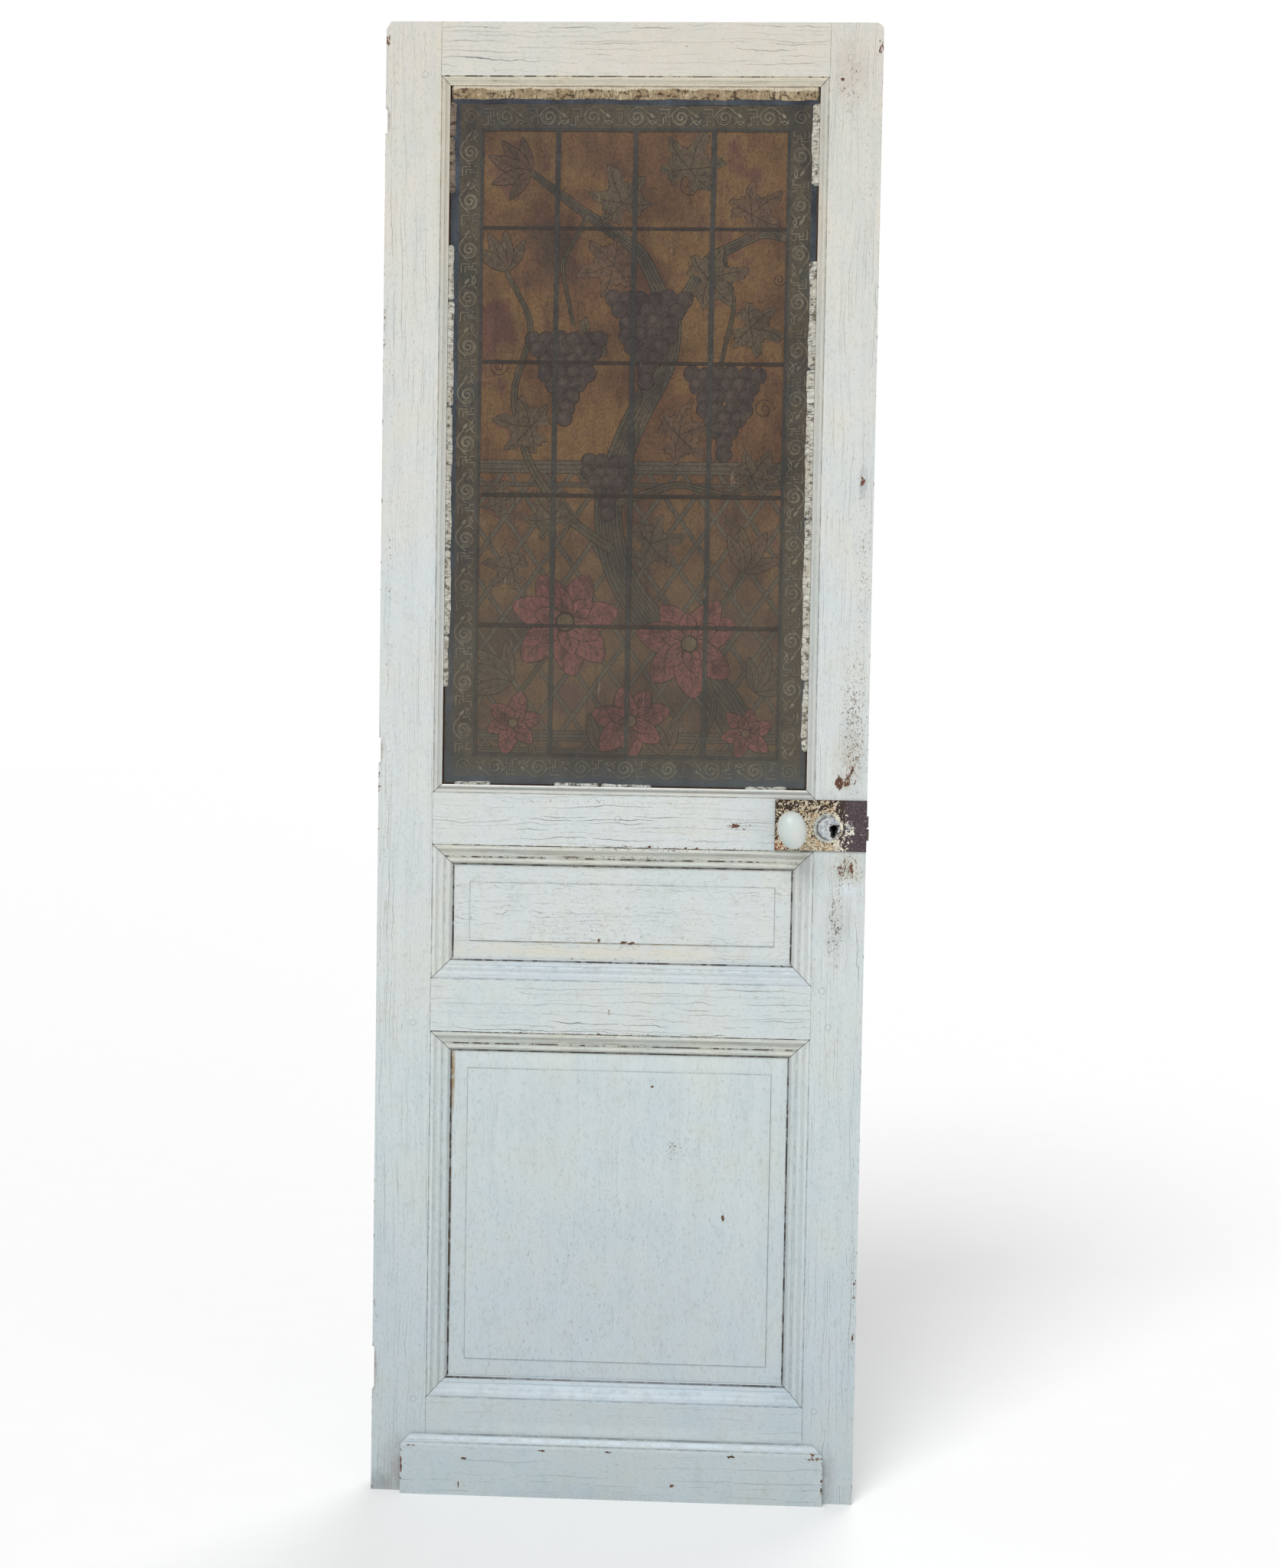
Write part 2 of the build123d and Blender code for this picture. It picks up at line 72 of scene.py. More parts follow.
# %% [markdown]
# ## Colours and shader arithmetic
# A colour picked from a screen is stored in sRGB, while a shader adds light in linear values, so
# each colour is converted once. Node trees could be drawn by hand in the editor, but a formula for
# dirt or cracks is easier to read as plain arithmetic: a small class wraps one socket, and adding
# or multiplying it adds a Math node. A second class stands for one whole finish.


# %% A colour from its screen value
def colour(red, green, blue):
    """Linear colour of a screen colour given as 0 to 255."""
    screen = np.array([red, green, blue]) / 255
    linear = np.where(screen <= 0.04045, screen / 12.92, ((screen + 0.055) / 1.055) ** 2.4)
    return (*linear.tolist(), 1.0)


# %% A value that changes over a surface
class Value:
    """One socket of a node tree. Arithmetic on it adds Math nodes."""

    def __init__(self, finish, socket):
        self.finish = finish
        self.socket = socket

    def math(self, operation, *others):
        values = dict(enumerate((self, *others)))
        return self.finish.node("Math", {"operation": operation}, values)

    def __add__(self, other):
        return self.math("ADD", other)

    __radd__ = __add__

    def __mul__(self, other):
        return self.math("MULTIPLY", other)

    __rmul__ = __mul__

    def __sub__(self, other):
        return self.math("SUBTRACT", other)

    def __rsub__(self, other):
        return self.finish.node("Math", {"operation": "SUBTRACT"}, {0: other, 1: self})

    def __truediv__(self, other):
        return self.math("DIVIDE", other)

    def __abs__(self):
        return self.math("ABSOLUTE")

    def least(self, other):
        return self.math("MINIMUM", other)

    def most(self, other):
        return self.math("MAXIMUM", other)

    def rise(self, low, high):
        """0 below low, 1 above high and a smooth rise between; a fall if low is above high."""
        settings = {"interpolation_type": "SMOOTHSTEP"}
        if low > high:
            return 1 - self.rise(high, low)
        return self.finish.node("MapRange", settings, {"Value": self, 1: low, 2: high})

    def line(self, place, half, soft):
        """1 along a line where the value passes a place, fading over a soft edge."""
        return abs(self - place).rise(half + soft, half)


def linear_tint(tint):
    """Three screen numbers become a linear colour. A socket's value or a colour that is
    linear already stays as it is."""
    return colour(*tint) if isinstance(tint, tuple) and len(tint) == 3 else tint


# %% A finish, which is one material
class Finish:
    """A material with a Principled shader, read in millimetres on the leaf."""

    def __init__(self, name, **constants):
        self.material = bpy.data.materials.new(name)
        self.material.use_nodes = True
        self.tree = self.material.node_tree
        self.shader = self.tree.nodes["Principled BSDF"]
        for socket, value in constants.items():
            self.shader.inputs[socket.replace("_", " ")].default_value = value
        self.at = self.node("TexCoord", out="Object")
        scaled = self.node("VectorMath", {"operation": "SCALE"}, {0: self.at, "Scale": 1000.0})
        shift = (HINGE_SEAT, 0.0, SEAT_HEIGHT)
        self.mm = self.node("VectorMath", {"operation": "ADD"}, {0: scaled, 1: shift})
        self.x = self.node("SeparateXYZ", {}, {0: self.mm}, out="X")
        self.y = self.node("SeparateXYZ", {}, {0: self.mm}, out="Y")
        self.z = self.node("SeparateXYZ", {}, {0: self.mm}, out="Z")

    def node(self, kind, settings=None, values=None, out=0):
        """Any node: its settings first, then its sockets' values or links."""
        node = self.tree.nodes.new("ShaderNode" + kind)
        for key, setting in (settings or {}).items():
            if key == "stops":
                stops = node.color_ramp.elements
                while len(stops) < len(setting):
                    stops.new(0.5)
                for stop, (position, tint) in zip(stops, setting):
                    stop.position, stop.color = position, tint
            else:
                setattr(node, key, setting)
        for key, value in (values or {}).items():
            self.feed(node.inputs[key], value)
        return Value(self, node.outputs[out])

    def feed(self, socket, value):
        """Links a value to a socket, or sets the socket to a plain number or colour."""
        if isinstance(value, Value):
            self.tree.links.new(value.socket, socket)
        else:
            socket.default_value = value

    def stretched(self, x, y, z):
        """The leaf's millimetres times one number each way, which stretches a pattern."""
        return self.node("VectorMath", {"operation": "MULTIPLY"}, {0: self.mm, 1: (x, y, z)})

    def noise(self, stretch, detail=3.0, rough=0.55, twist=0.0):
        """Cloudy noise around a half, with so many clouds per millimetre each way."""
        values = {"Vector": self.stretched(*stretch), "Scale": 1.0, "Detail": detail}
        values |= {"Roughness": rough, "Distortion": twist}
        return self.node("TexNoise", {}, values)

    def cells(self, stretch, feature="F1", out="Distance"):
        """Voronoi cells, with so many per millimetre each way."""
        values = {"Vector": self.stretched(*stretch), "Scale": 1.0}
        return self.node("TexVoronoi", {"feature": feature}, values, out)

    def drawn(self, across, up, detail=3.0, rough=0.55):
        """Cloudy noise over two computed values."""
        spot = self.node("CombineXYZ", {}, {0: across, 1: up})
        values = {"Vector": spot, "Scale": 1.0, "Detail": detail, "Roughness": rough}
        return self.node("TexNoise", {"noise_dimensions": "2D"}, values)

    def ramp(self, value, *stops):
        """Colours in order along a value: each stop is a place from 0 to 1 and a tint."""
        stops = [(place, linear_tint(tint)) for place, tint in stops]
        return self.node("ValToRGB", {"stops": stops}, {0: value})

    def levels(self, place, hue, *pairs):
        """A ramp of one hue: each pair is a place in millimetres and how light it is there."""
        stops = [(at / MOULDING, (*(level * part for part in hue), 1.0)) for at, level in pairs]
        return self.ramp(place, *stops)

    def mix(self, share, under, over, blend="MIX"):
        settings = {"data_type": "RGBA", "blend_type": blend}
        values = {0: share, 6: linear_tint(under), 7: linear_tint(over)}
        return self.node("Mix", settings, values, out=2)

    def cover(self, under, *layers):
        """Lays tints over a colour, each with the share of the surface that it hides."""
        for share, tint in layers:
            under = self.mix(share, under, tint)
        return under

    def shade(self, under, *layers):
        """Multiplies a colour by factors for red, green and blue, each with its share."""
        for share, factors in layers:
            factors = factors if isinstance(factors, Value) else (*factors, 1.0)
            under = self.mix(share, under, factors, "MULTIPLY")
        return under

    def bump(self, height, millimetres, strength=1.0):
        values = {"Height": height, "Distance": millimetres / 1000, "Strength": strength}
        return self.node("Bump", {}, values)

    def set(self, **sockets):
        """Feeds the Principled shader's sockets by name."""
        for name, value in sockets.items():
            self.feed(self.shader.inputs[name.replace("_", " ")], value)
        return self.material


# %% [markdown]
# ## Old paint on joinery
# The leaf carries many coats of oil paint. It has gone creamy near the top, where smoke and warm air
# reach, and is cooler, greyer and darker near the foot, where the darkening is painted shade. It
# cracks along the grain of the wood below it, so the cracks run up the stiles and across the rails.
# Dirt lies in the quirks of the mouldings and the mitres, and the gaps round the panels are dark,
# partly with the painted shadow of the beads. An image would need unwrapping and would repeat, so
# all of it is worked out from where a point lies on the leaf: its distance inside the nearest
# opening gives each line of the moulding, and lanes along the grain give cracks.


# %% Where a point lies on the joinery
def joinery_lines(finish):
    """How far a point lies inside the openings, across and up. The smaller of the two is
    its place on the moulding, as a picture frame's corner has both."""
    middle = (LEFT_SHOULDER + RIGHT_SHOULDER) / 2
    across = (RIGHT_SHOULDER - LEFT_SHOULDER) / 2 - abs(finish.x - middle)
    up = None
    for foot, head in OPENINGS.values():
        inside = (head - foot) / 2 - abs(finish.z - (foot + head) / 2)
        up = inside if up is None else up.most(inside)
    return across, up, across.least(up)


def heads_and_feet(finish, level):
    """1 on the mouldings over the openings, and 1 on those under them. Level is 1 on the
    level mouldings as far as their mitres."""
    head_part, foot_part = None, None
    for foot, head in OPENINGS.values():
        over = finish.z.rise(head - 34, head - 33) * finish.z.rise(head + 0.6, head + 0.4)
        under = finish.z.rise(foot - 0.6, foot - 0.4) * finish.z.rise(foot + 34, foot + 33)
        head_part = over if head_part is None else head_part + over
        foot_part = under if foot_part is None else foot_part + under
    return head_part * level, foot_part * level


# %% Cracks
def cracks_along(finish, upright, spacing, length, width, curl):
    """Thin cracks side by side. The leaf is cut into wandering lanes, each lane holds one
    crack at a place drawn by its number, and stretched noise breaks it into lengths."""
    along, side = (finish.z, finish.x) if upright else (finish.x, finish.z)
    drift_way = (0.02, 0.02, 0.004) if upright else (0.004, 0.02, 0.02)
    curl_way = (0.05, 0.05, 0.03) if upright else (0.03, 0.05, 0.05)
    drift = (finish.noise(drift_way, 2.0) - 0.5) * 28.0
    drift = drift + (finish.noise(curl_way, 3.0) - 0.5) * curl
    lane = (side + finish.y * 0.7 + drift) / spacing
    number = lane.math("FLOOR")
    lot = finish.node("TexWhiteNoise", {"noise_dimensions": "1D"}, {"W": number})
    depth = finish.node("TexWhiteNoise", {"noise_dimensions": "1D"}, {"W": number + 0.5})
    away = abs(lane - number - 0.15 - lot * 0.7) * spacing
    part = finish.drawn(along / length + lot * 60.0, number * 3.7, 3.0)
    opened = part.rise(0.48, 0.64)
    thin = (away / (width * (0.4 + opened))).rise(1.3, 0.7)
    return thin * part.rise(0.47, 0.5) * (0.25 + depth * 0.75)


def cracks_on_flats(finish, upright, inset, *shape):
    """Cracks only on the flat of the wood, and fewer in some areas than in others."""
    area = finish.noise((0.012, 0.01, 0.005) if upright else (0.005, 0.01, 0.014), 2.0)
    flat = inset.rise(0.5, -0.5).most(inset.rise(MOULDING, MOULDING + 1.0))
    return cracks_along(finish, upright, *shape) * (0.45 + area.rise(0.42, 0.58) * 0.55) * flat


# %% The coat of paint
# Paint colour from the foot to the head: creamy at the head; the cooler, darker foot is painted
# shade.
COAT_AND_SHADE_BY_HEIGHT = (
    (0.0, (178, 189, 192)),
    (0.09, (186, 197, 202)),
    (0.24, (198, 208, 210)),
    (0.4, (208, 214, 213)),
    (0.62, (211, 216, 215)),
    (0.82, (214, 213, 206)),
    (0.98, (213, 209, 199)),
)


def aged_and_shaded_coat(finish, upright, brush_fineness, brush_strength):
    """The paint's colour: a ramp up the leaf, creamy at the head and cooler and darker at the foot,
    where the darkening is painted shade, then brush marks along the grain, cool and warm patches,
    mottle, and a fine grain of dirt."""
    clouds = finish.noise((0.006, 0.02, 0.004), 3.0)
    height = finish.z / LEAF_HEIGHT + (clouds - 0.5) * 0.1
    coat = finish.ramp(height, *COAT_AND_SHADE_BY_HEIGHT)
    brush_way = (brush_fineness, 0.3, 0.004) if upright else (0.004, 0.3, brush_fineness)
    brush = finish.noise(brush_way, 4.0, 0.6)
    patch = finish.noise((0.013, 0.02, 0.009), 5.0, 0.62)
    mottle = finish.noise((0.05, 0.05, 0.035), 5.0, 0.65)
    grain = finish.noise((0.36, 0.36, 0.14) if upright else (0.14, 0.36, 0.36), 3.0, 0.65)
    coat = finish.cover(coat, (brush.rise(0.38, 0.68) * brush_strength, (184, 194, 198)))
    coat = finish.shade(
        coat,
        (patch.rise(0.5, 0.62), (0.96, 0.985, 0.995)),
        (patch.rise(0.5, 0.38), (1.02, 1.0, 0.965)),
        (mottle.rise(0.52, 0.7), (0.95, 0.945, 0.93)),
        (grain.rise(0.5, 0.74), (0.82, 0.82, 0.81)),
    )
    return finish.cover(coat, (grain.rise(0.71, 0.74) * 0.6, (104, 98, 88))), brush, mottle


# %% [markdown]
# ### Painted shade and dirt across the mouldings
# Light from above catches the upper faces of a moulding and leaves its undersides dark, and a
# century of wiping has left dirt where a cloth doesn't reach. Modelled light alone gives half of it.
# The rest is painted shade and painted highlight, together with the dirt: a ramp across the
# moulding's width, one for each kind of side. A row is a hue and pairs of millimetres in from the
# moulding's edge and how light the paint is there; levels over 1 are painted highlights.

# %% Moulding shade and dirt
MOULDING_SHADE_AND_DIRT = {
    "over panel": (
        (1.0, 0.965, 0.9),
        *((0, 0.87), (2, 0.96), (4, 1.05), (6, 1.03), (8, 0.82), (10, 0.68), (12, 0.75), (14, 0.95)),
        *((16, 1.1), (18, 1.05), (20, 0.93), (22, 0.94), (24, 1.02), (26, 0.94), (28, 0.66)),
        *((30, 0.64), (31, 0.7)),
    ),
    "over pane": (
        (1.0, 0.96, 0.87),
        *((0, 0.9), (1, 1.12), (2.5, 1.08), (4, 0.93), (5.5, 0.97), (7, 1.1), (8.5, 1.06)),
        *((10, 0.97), (11.5, 0.93), (13, 1.05)),
    ),
    "under panel": (
        (0.97, 0.985, 1.03),
        *((0, 1.1), (2, 1.05), (4, 1.0), (6, 0.96), (8, 0.98), (10, 1.05), (12, 0.98), (14, 0.84)),
        *((16, 0.92), (18, 1.1), (20, 1.15), (22, 1.18), (24, 1.04), (26, 0.92), (29, 0.9)),
        (31, 1.02),
    ),
    "under pane": (
        (1.0, 0.965, 0.92),
        *((0, 0.88), (1, 0.98), (2.5, 1.07), (4, 1.02), (5.5, 0.76), (7, 0.48), (8.5, 0.44)),
        *((10, 0.74), (11.5, 1.25), (13, 1.4)),
    ),
    "beside panel": (
        (1.0, 0.99, 0.975),
        *((0, 1.1), (2, 1.06), (4, 1.04), (6, 1.03), (8, 0.96), (10, 0.92), (12, 0.98), (14, 1.05)),
        *((16, 1.04), (18, 1.0), (20, 1.04), (22, 1.04), (24, 0.97), (26, 0.94), (28, 0.8)),
        (31, 0.8),
    ),
    "beside pane": (
        (1.0, 0.985, 0.95),
        *((0, 1.02), (1, 0.94), (2.5, 0.85), (4, 0.86), (5.5, 0.92), (7, 0.88), (8.5, 0.81)),
        *((10, 0.8), (13, 0.86)),
    ),
}


def moulding_shade_and_dirt(finish, coat, across, up, inset):
    """Multiplies the coat by painted shade and highlight with dirt across the moulding, and by dark
    streaks along it that are partly dirt and partly painted shade, strongest over an opening.
    """
    level = (across - up).rise(-0.2, 0.2)
    over, under = heads_and_feet(finish, level)
    along = finish.z + (finish.x - finish.z) * level
    streak = finish.drawn(along * 0.014, inset * 0.5, 4.0, 0.65)
    place = inset / MOULDING + (streak - 0.5) * 0.05
    at_pane = finish.z.rise(1050.0, 1051.0)
    above, below, beside = (
        finish.mix(
            at_pane,
            finish.levels(place, *MOULDING_SHADE_AND_DIRT[side + " panel"]),
            finish.levels(place, *MOULDING_SHADE_AND_DIRT[side + " pane"]),
        )
        for side in ("over", "under", "beside")
    )
    tint = finish.mix(under, finish.mix(over, beside, above), below)
    here = inset.rise(-0.1, 0.1) * inset.rise(MOULDING + 0.3, MOULDING - 0.1)
    streaked_dirt_and_shade = here * streak.rise(0.52, 0.66) * (0.35 + over * 0.65)
    return finish.shade(coat, (here, tint), (streaked_dirt_and_shade, (0.8, 0.78, 0.72))), over, under


# %% Places on the leaf
def soft_spot(finish, x, z, wide, high):
    """1 in the middle of an oval and 0 at its rim: one less the squared distance."""
    sideways = (finish.x - x) / wide
    upwards = (finish.z - z) / high
    return (1 - sideways * sideways - upwards * upwards).most(0.0)


def worn_places(finish, places):
    """The most worn of several ovals, each with how much it is worn in its middle."""
    worn = finish.x * 0.0
    for x, z, wide, high, strength in places:
        worn = worn.most(soft_spot(finish, x, z, wide, high) * strength)
    return worn


def distance(finish, x, z):
    """Millimetres from an axis through the leaf."""
    sideways, upwards = finish.x - x, finish.z - z
    return (sideways * sideways + upwards * upwards).math("SQRT")


def rings(finish, places, radius):
    """1 on thin circles round several places, such as the ends of pegs."""
    drawn = finish.x * 0.0
    for x, z in places:
        drawn = drawn.most(distance(finish, x, z).line(radius, 0.3, 0.6))
    return drawn


# %% Dirt and painted shadow on the joinery's lines
def dirt_and_shadow_lines(finish, coat, across, up, inset, over, under, broken, pegs):
    """Darkens the lines of the joinery, each by its strength: the panel fields' borders, the
    pegs, the quirks and mitres of the mouldings, the shoulders, and the gaps round panels with
    the painted shadow of the beads, drawn 3 mm nearer under an opening. Dirt is blacker over
    an opening."""
    dark_part = broken.rise(0.46, 0.54)
    quirk = inset.line(0.5, 0.45, 0.5) * dark_part * (0.3 + over * 0.7)
    inner = inset.line(18.7, 0.7, 0.8) * dark_part * (0.2 + over * 0.8)
    mitre = abs(across - up).rise(1.0, 0.4) * inset.rise(-0.4, 0.2) * inset.rise(31.2, 31.0)
    in_front = finish.y.rise(-17.8, -17.3)
    shoulder = abs(across).rise(0.8, 0.35) * up.rise(1.0, -0.5) * in_front
    # The gap's dark line is partly the beads' painted shadow, so it moves in from the gap under and
    # over an opening.
    gap_and_shadow = (inset + under * 2.8 + over * 1.4).line(MOULDING + 0.2, 0.95, 0.7)
    border = across.line(56.3, 0.35, 0.5).most(up.line(57.3, 0.35, 0.5)) * inset.rise(55.4, 55.8)
    coat = finish.cover(
        coat,
        (border * (0.4 + dark_part * 0.6) * 0.55, (128, 132, 128)),
        (rings(finish, pegs, 4.6) * 0.4, (120, 122, 120)),
        (inner * 0.95, (66, 50, 40)),
        (quirk * 0.92, (64, 54, 44)),
        (mitre * 0.85, (72, 62, 50)),
        (shoulder * (0.5 + dark_part * 0.5) * 0.55, (96, 92, 86)),
        (gap_and_shadow * (0.6 + dark_part * 0.4) * 0.97, (50, 42, 34)),
    )
    return coat, quirk


# %% Chips and bare spots
def chipped(finish, coat, upright, brush, wear, peppered):
    """Bare where ragged noise plus the wear of a place passes one level: fine pepper, each
    spot in a dull halo, then chips down to the wood, also along both edges of the leaf."""
    pepper = finish.noise((0.5, 0.5, 0.34), 3.0, 0.6) + worn_places(finish, peppered)
    ragged = finish.noise((0.2, 0.2, 0.1) if upright else (0.1, 0.2, 0.2), 5.0, 0.72)
    edges = finish.x.rise(2.4, 0.0).most(finish.x.rise(LEAF_WIDTH - 2.4, LEAF_WIDTH)) * 0.13
    worn = ragged + worn_places(finish, wear).most(edges) * finish.y.rise(13.0, 6.0)
    bare = worn.rise(0.735, 0.75)
    coat = finish.cover(
        coat,
        (pepper.rise(0.62, 0.72) * 0.4, (176, 166, 146)),
        (pepper.rise(0.72, 0.75) * 0.9, (78, 64, 54)),
        (worn.rise(0.7, 0.735) * 0.4, (188, 170, 142)),
        (bare, finish.ramp(brush, (0.3, (62, 46, 38)), (0.55, (104, 70, 54)))),
    )
    return coat, bare


# %% Painted wood, with its grain up or across
def painted_wood(name, upright, cracking, brushing, wear=(), peppered=(), stains_and_light=(), pegs=()):
    """Oil paint: its coat, with painted shade at the foot and across the mouldings, cracks along
    the grain, dirt and painted shadow on the joinery's lines, soft torn stains among which are a few
    painted shadows and highlights, and chips. The rebate in front of the pane was never painted."""
    *crack_shape, crack_depth = cracking
    finish = Finish(name, Specular_IOR_Level=0.3)
    across, up, inset = joinery_lines(finish)
    coat, brush, mottle = aged_and_shaded_coat(finish, upright, *brushing)
    coat, over, under = moulding_shade_and_dirt(finish, coat, across, up, inset)
    cracks = cracks_on_flats(finish, upright, inset, *crack_shape)
    coat = finish.cover(coat, (cracks * crack_depth, (96, 96, 94)))
    broken = finish.noise((0.05, 0.05, 0.05), 4.0, 0.7)
    coat, quirk = dirt_and_shadow_lines(finish, coat, across, up, inset, over, under, broken, pegs)
    torn = 0.35 + broken.rise(0.35, 0.6) * 0.65
    for x, z, wide, high, strength, dark in stains_and_light:
        coat = finish.cover(coat, (soft_spot(finish, x, z, wide, high) * torn * strength, dark))
    coat, bare = chipped(finish, coat, upright, brush, wear, peppered)
    rebate = inset.rise(12.85, 12.95) * finish.z.rise(1060.0, 1062.0) * inset.rise(MOULDING, 30.0)
    bare_rebate = finish.mix(brush, (74, 44, 32), (122, 90, 70))
    coat = finish.cover(coat, (rebate * finish.y.rise(-1.0, -2.0), bare_rebate))
    height = brush * 0.25 + mottle * 0.2 - cracks * 0.9 - bare * 0.8 - quirk * 0.4
    rough = 0.48 + bare * 0.3 + broken * 0.12
    return finish.set(Base_Color=coat, Roughness=rough, Normal=finish.bump(height, 0.35, 0.6))


# %% [markdown]
# ### Coats for each kind of piece
# Every stile and the tall lower panel have upright grain. The rails, the low upper panel and the
# board at the foot have level grain. Rails crack in long fine lines, the upper panel in short ones,
# and the lower panel hardly at all. Worn, peppered and stained places are ovals, given one by one
# where a key, a hand or a hinge has been: across, up, half width, half height and strength, and for
# a stain its tint. A few stained ovals are painted shadows and highlights round the board at the
# foot.

# %% Paint the joinery
hinge_brown, foot_pink, cream = (122, 96, 76), (156, 150, 148), (206, 194, 160)
stile_stains_and_shadow = [
    (0, 2056, 9, 24, 0.9, hinge_brown),
    (0, 1126, 8, 24, 0.8, hinge_brown),
    (0, 187, 9, 44, 0.9, hinge_brown),
    (34, 34, 26, 60, 0.6, foot_pink),
    (12, 12, 22, 26, 0.6, (128, 132, 134)),
    # A painted shadow along the left end of the board at the foot.
    (44, 30, 5, 44, 0.5, (132, 124, 118)),
    (694, 36, 12, 56, 0.5, foot_pink),
    (90, 2010, 24, 240, 0.3, cream),
    (15, 889, 8, 14, 0.4, (186, 186, 166)),
    (683, 2128, 34, 60, 0.3, (176, 146, 120)),
    (704, 1130, 30, 70, 0.4, (166, 158, 142)),
    (700, 962, 40, 34, 0.4, (176, 166, 142)),
    (702, 934, 16, 14, 0.9, (212, 222, 228)),
    (714, 1533, 9, 28, 0.45, (120, 126, 130)),
    (690, 880, 30, 60, 0.25, (160, 160, 154)),
]
stile_wear = [
    (689, 1090, 13, 15, 0.34),
    (700, 1092, 9, 16, 0.3),
    (704, 1112, 18, 48, 0.19),
    (702, 962, 24, 20, 0.22),
    (712, 1534, 7, 26, 0.2),
    (726, 1500, 8, 360, 0.09),
    (0, 2056, 4, 24, 0.25),
    (0, 1126, 4, 24, 0.22),
    (0, 187, 5, 44, 0.26),
    (1, 1085, 5, 48, 0.24),
    (1, 1760, 4, 60, 0.2),
    (2, 2172, 9, 14, 0.3),
    (728, 2168, 8, 22, 0.24),
    (690, 2120, 30, 60, 0.1),
    (727, 300, 7, 130, 0.16),
    (4, 290, 8, 110, 0.12),
    (3, 12, 14, 20, 0.12),
    (672, 2118, 4, 4, 0.4),
]
stile_pepper = [
    (708, 1180, 26, 150, 0.15),
    (716, 1400, 14, 200, 0.1),
    (702, 960, 30, 40, 0.17),
    (686, 872, 15, 84, 0.17),
    (13, 1300, 5, 620, 0.07),
    (712, 1980, 14, 200, 0.06),
    (722, 300, 10, 180, 0.08),
    (680, 2100, 30, 60, 0.08),
]
stile_pegs = [(58, 2123), (683, 2150), (56, 717), (669, 778), (679, 724), (63, 142), (670, 141)]
rail_wear = [
    (534, 1022, 12, 5, 0.34),
    (548, 1018, 8, 3, 0.3),
    (351, 740, 3, 6, 0.3),
    (474, 146, 12, 8, 0.26),
    (438, 2165, 12, 6, 0.16),
    (430, 984, 170, 4, 0.14),
    (300, 705, 200, 3, 0.13),
    (371, 989, 7, 2.5, 0.34),
    (408, 989, 4, 2.5, 0.34),
    (462, 988, 4, 2.5, 0.34),
    (478, 988, 4, 2.5, 0.34),
    (566, 956, 14, 2, 0.32),
]
rail_stains = [
    (290, 970.5, 24, 2.4, 0.95, (86, 58, 46)),
    (420, 967, 80, 1.6, 0.8, (92, 86, 78)),
    (250, 974, 60, 1.6, 0.6, (110, 106, 98)),
    (480, 2160, 260, 60, 0.5, (212, 203, 184)),
    (330, 690, 160, 2.0, 0.6, (104, 102, 96)),
    (480, 1012, 120, 4, 0.2, (206, 196, 170)),
]
rail_pepper = [
    (400, 986, 260, 7, 0.13),
    (360, 704, 260, 5, 0.11),
    (540, 1024, 34, 12, 0.13),
    (380, 972, 240, 4, 0.12),
    (330, 1054, 240, 5, 0.1),
]
panel_wear = [
    (334, 846, 5, 5, 0.36),
    (378, 842, 16, 5, 0.32),
    (350, 817, 240, 1.6, 0.16),
]
panel_pepper = [
    (370, 955, 260, 4, 0.12),
    (370, 870, 200, 60, 0.05),
    (360, 930, 220, 3, 0.12),
]
panel_stains = [
    (330, 827, 290, 13, 0.6, (216, 208, 188)),
    (330, 841, 290, 1.5, 0.95, (158, 140, 108)),
]
low_wear = [
    (418, 626, 5, 3, 0.3),
    (528, 428, 4, 18, 0.26),
    (326, 237, 3, 3, 0.3),
    (360, 674, 250, 1.8, 0.14),
]
low_pepper = [
    (452, 530, 18, 26, 0.14),
    (366, 400, 220, 240, 0.03),
]
board_wear = [
    (143, 57, 7, 4, 0.36),
    (458, 25, 7, 4, 0.34),
    (261, 72, 8, 3, 0.3),
    (361, 73, 10, 3, 0.26),
    (547, 72, 10, 4, 0.3),
    (135, 17, 2, 9, 0.32),
    (668, 76, 16, 14, 0.22),
    (60, 72, 16, 12, 0.16),
    (47, 40, 3, 50, 0.24),
    (683, 40, 3, 50, 0.24),
]
board_pepper = [
    (366, 40, 300, 40, 0.03),
    (366, 2, 300, 6, 0.1),
]
# At the foot: 89.6 is a painted shadow where the board's top meets the bottom rail, 84.8 a painted
# highlight on the board's bevel and 160 a painted highlight on the lower panel's under moulding; 100
# lightens the bottom rail over the board, and 79.3 is a dark line at the foot of the bevel.
foot_stains_shadows_highlights = [
    (330, 6, 150, 20, 0.25, (150, 166, 182)),
    (366, 79.3, 430, 1.4, 0.8, (104, 112, 118)),
    (366, 89.6, 430, 1.4, 0.85, (98, 106, 112)),
    (366, 100, 320, 12, 0.5, (200, 211, 212)),
    (366, 84.8, 430, 4.2, 0.95, (206, 219, 228)),
    (366, 160, 400, 17, 0.6, (214, 226, 232)),
]
low_stains = [
    (116, 640, 4, 70, 0.9, (146, 116, 66)),
    (114.4, 440, 1.8, 260, 0.8, (92, 78, 58)),
    (300, 600, 180, 120, 0.2, (184, 198, 204)),
    (366, 680, 300, 44, 0.45, (212, 221, 219)),
]
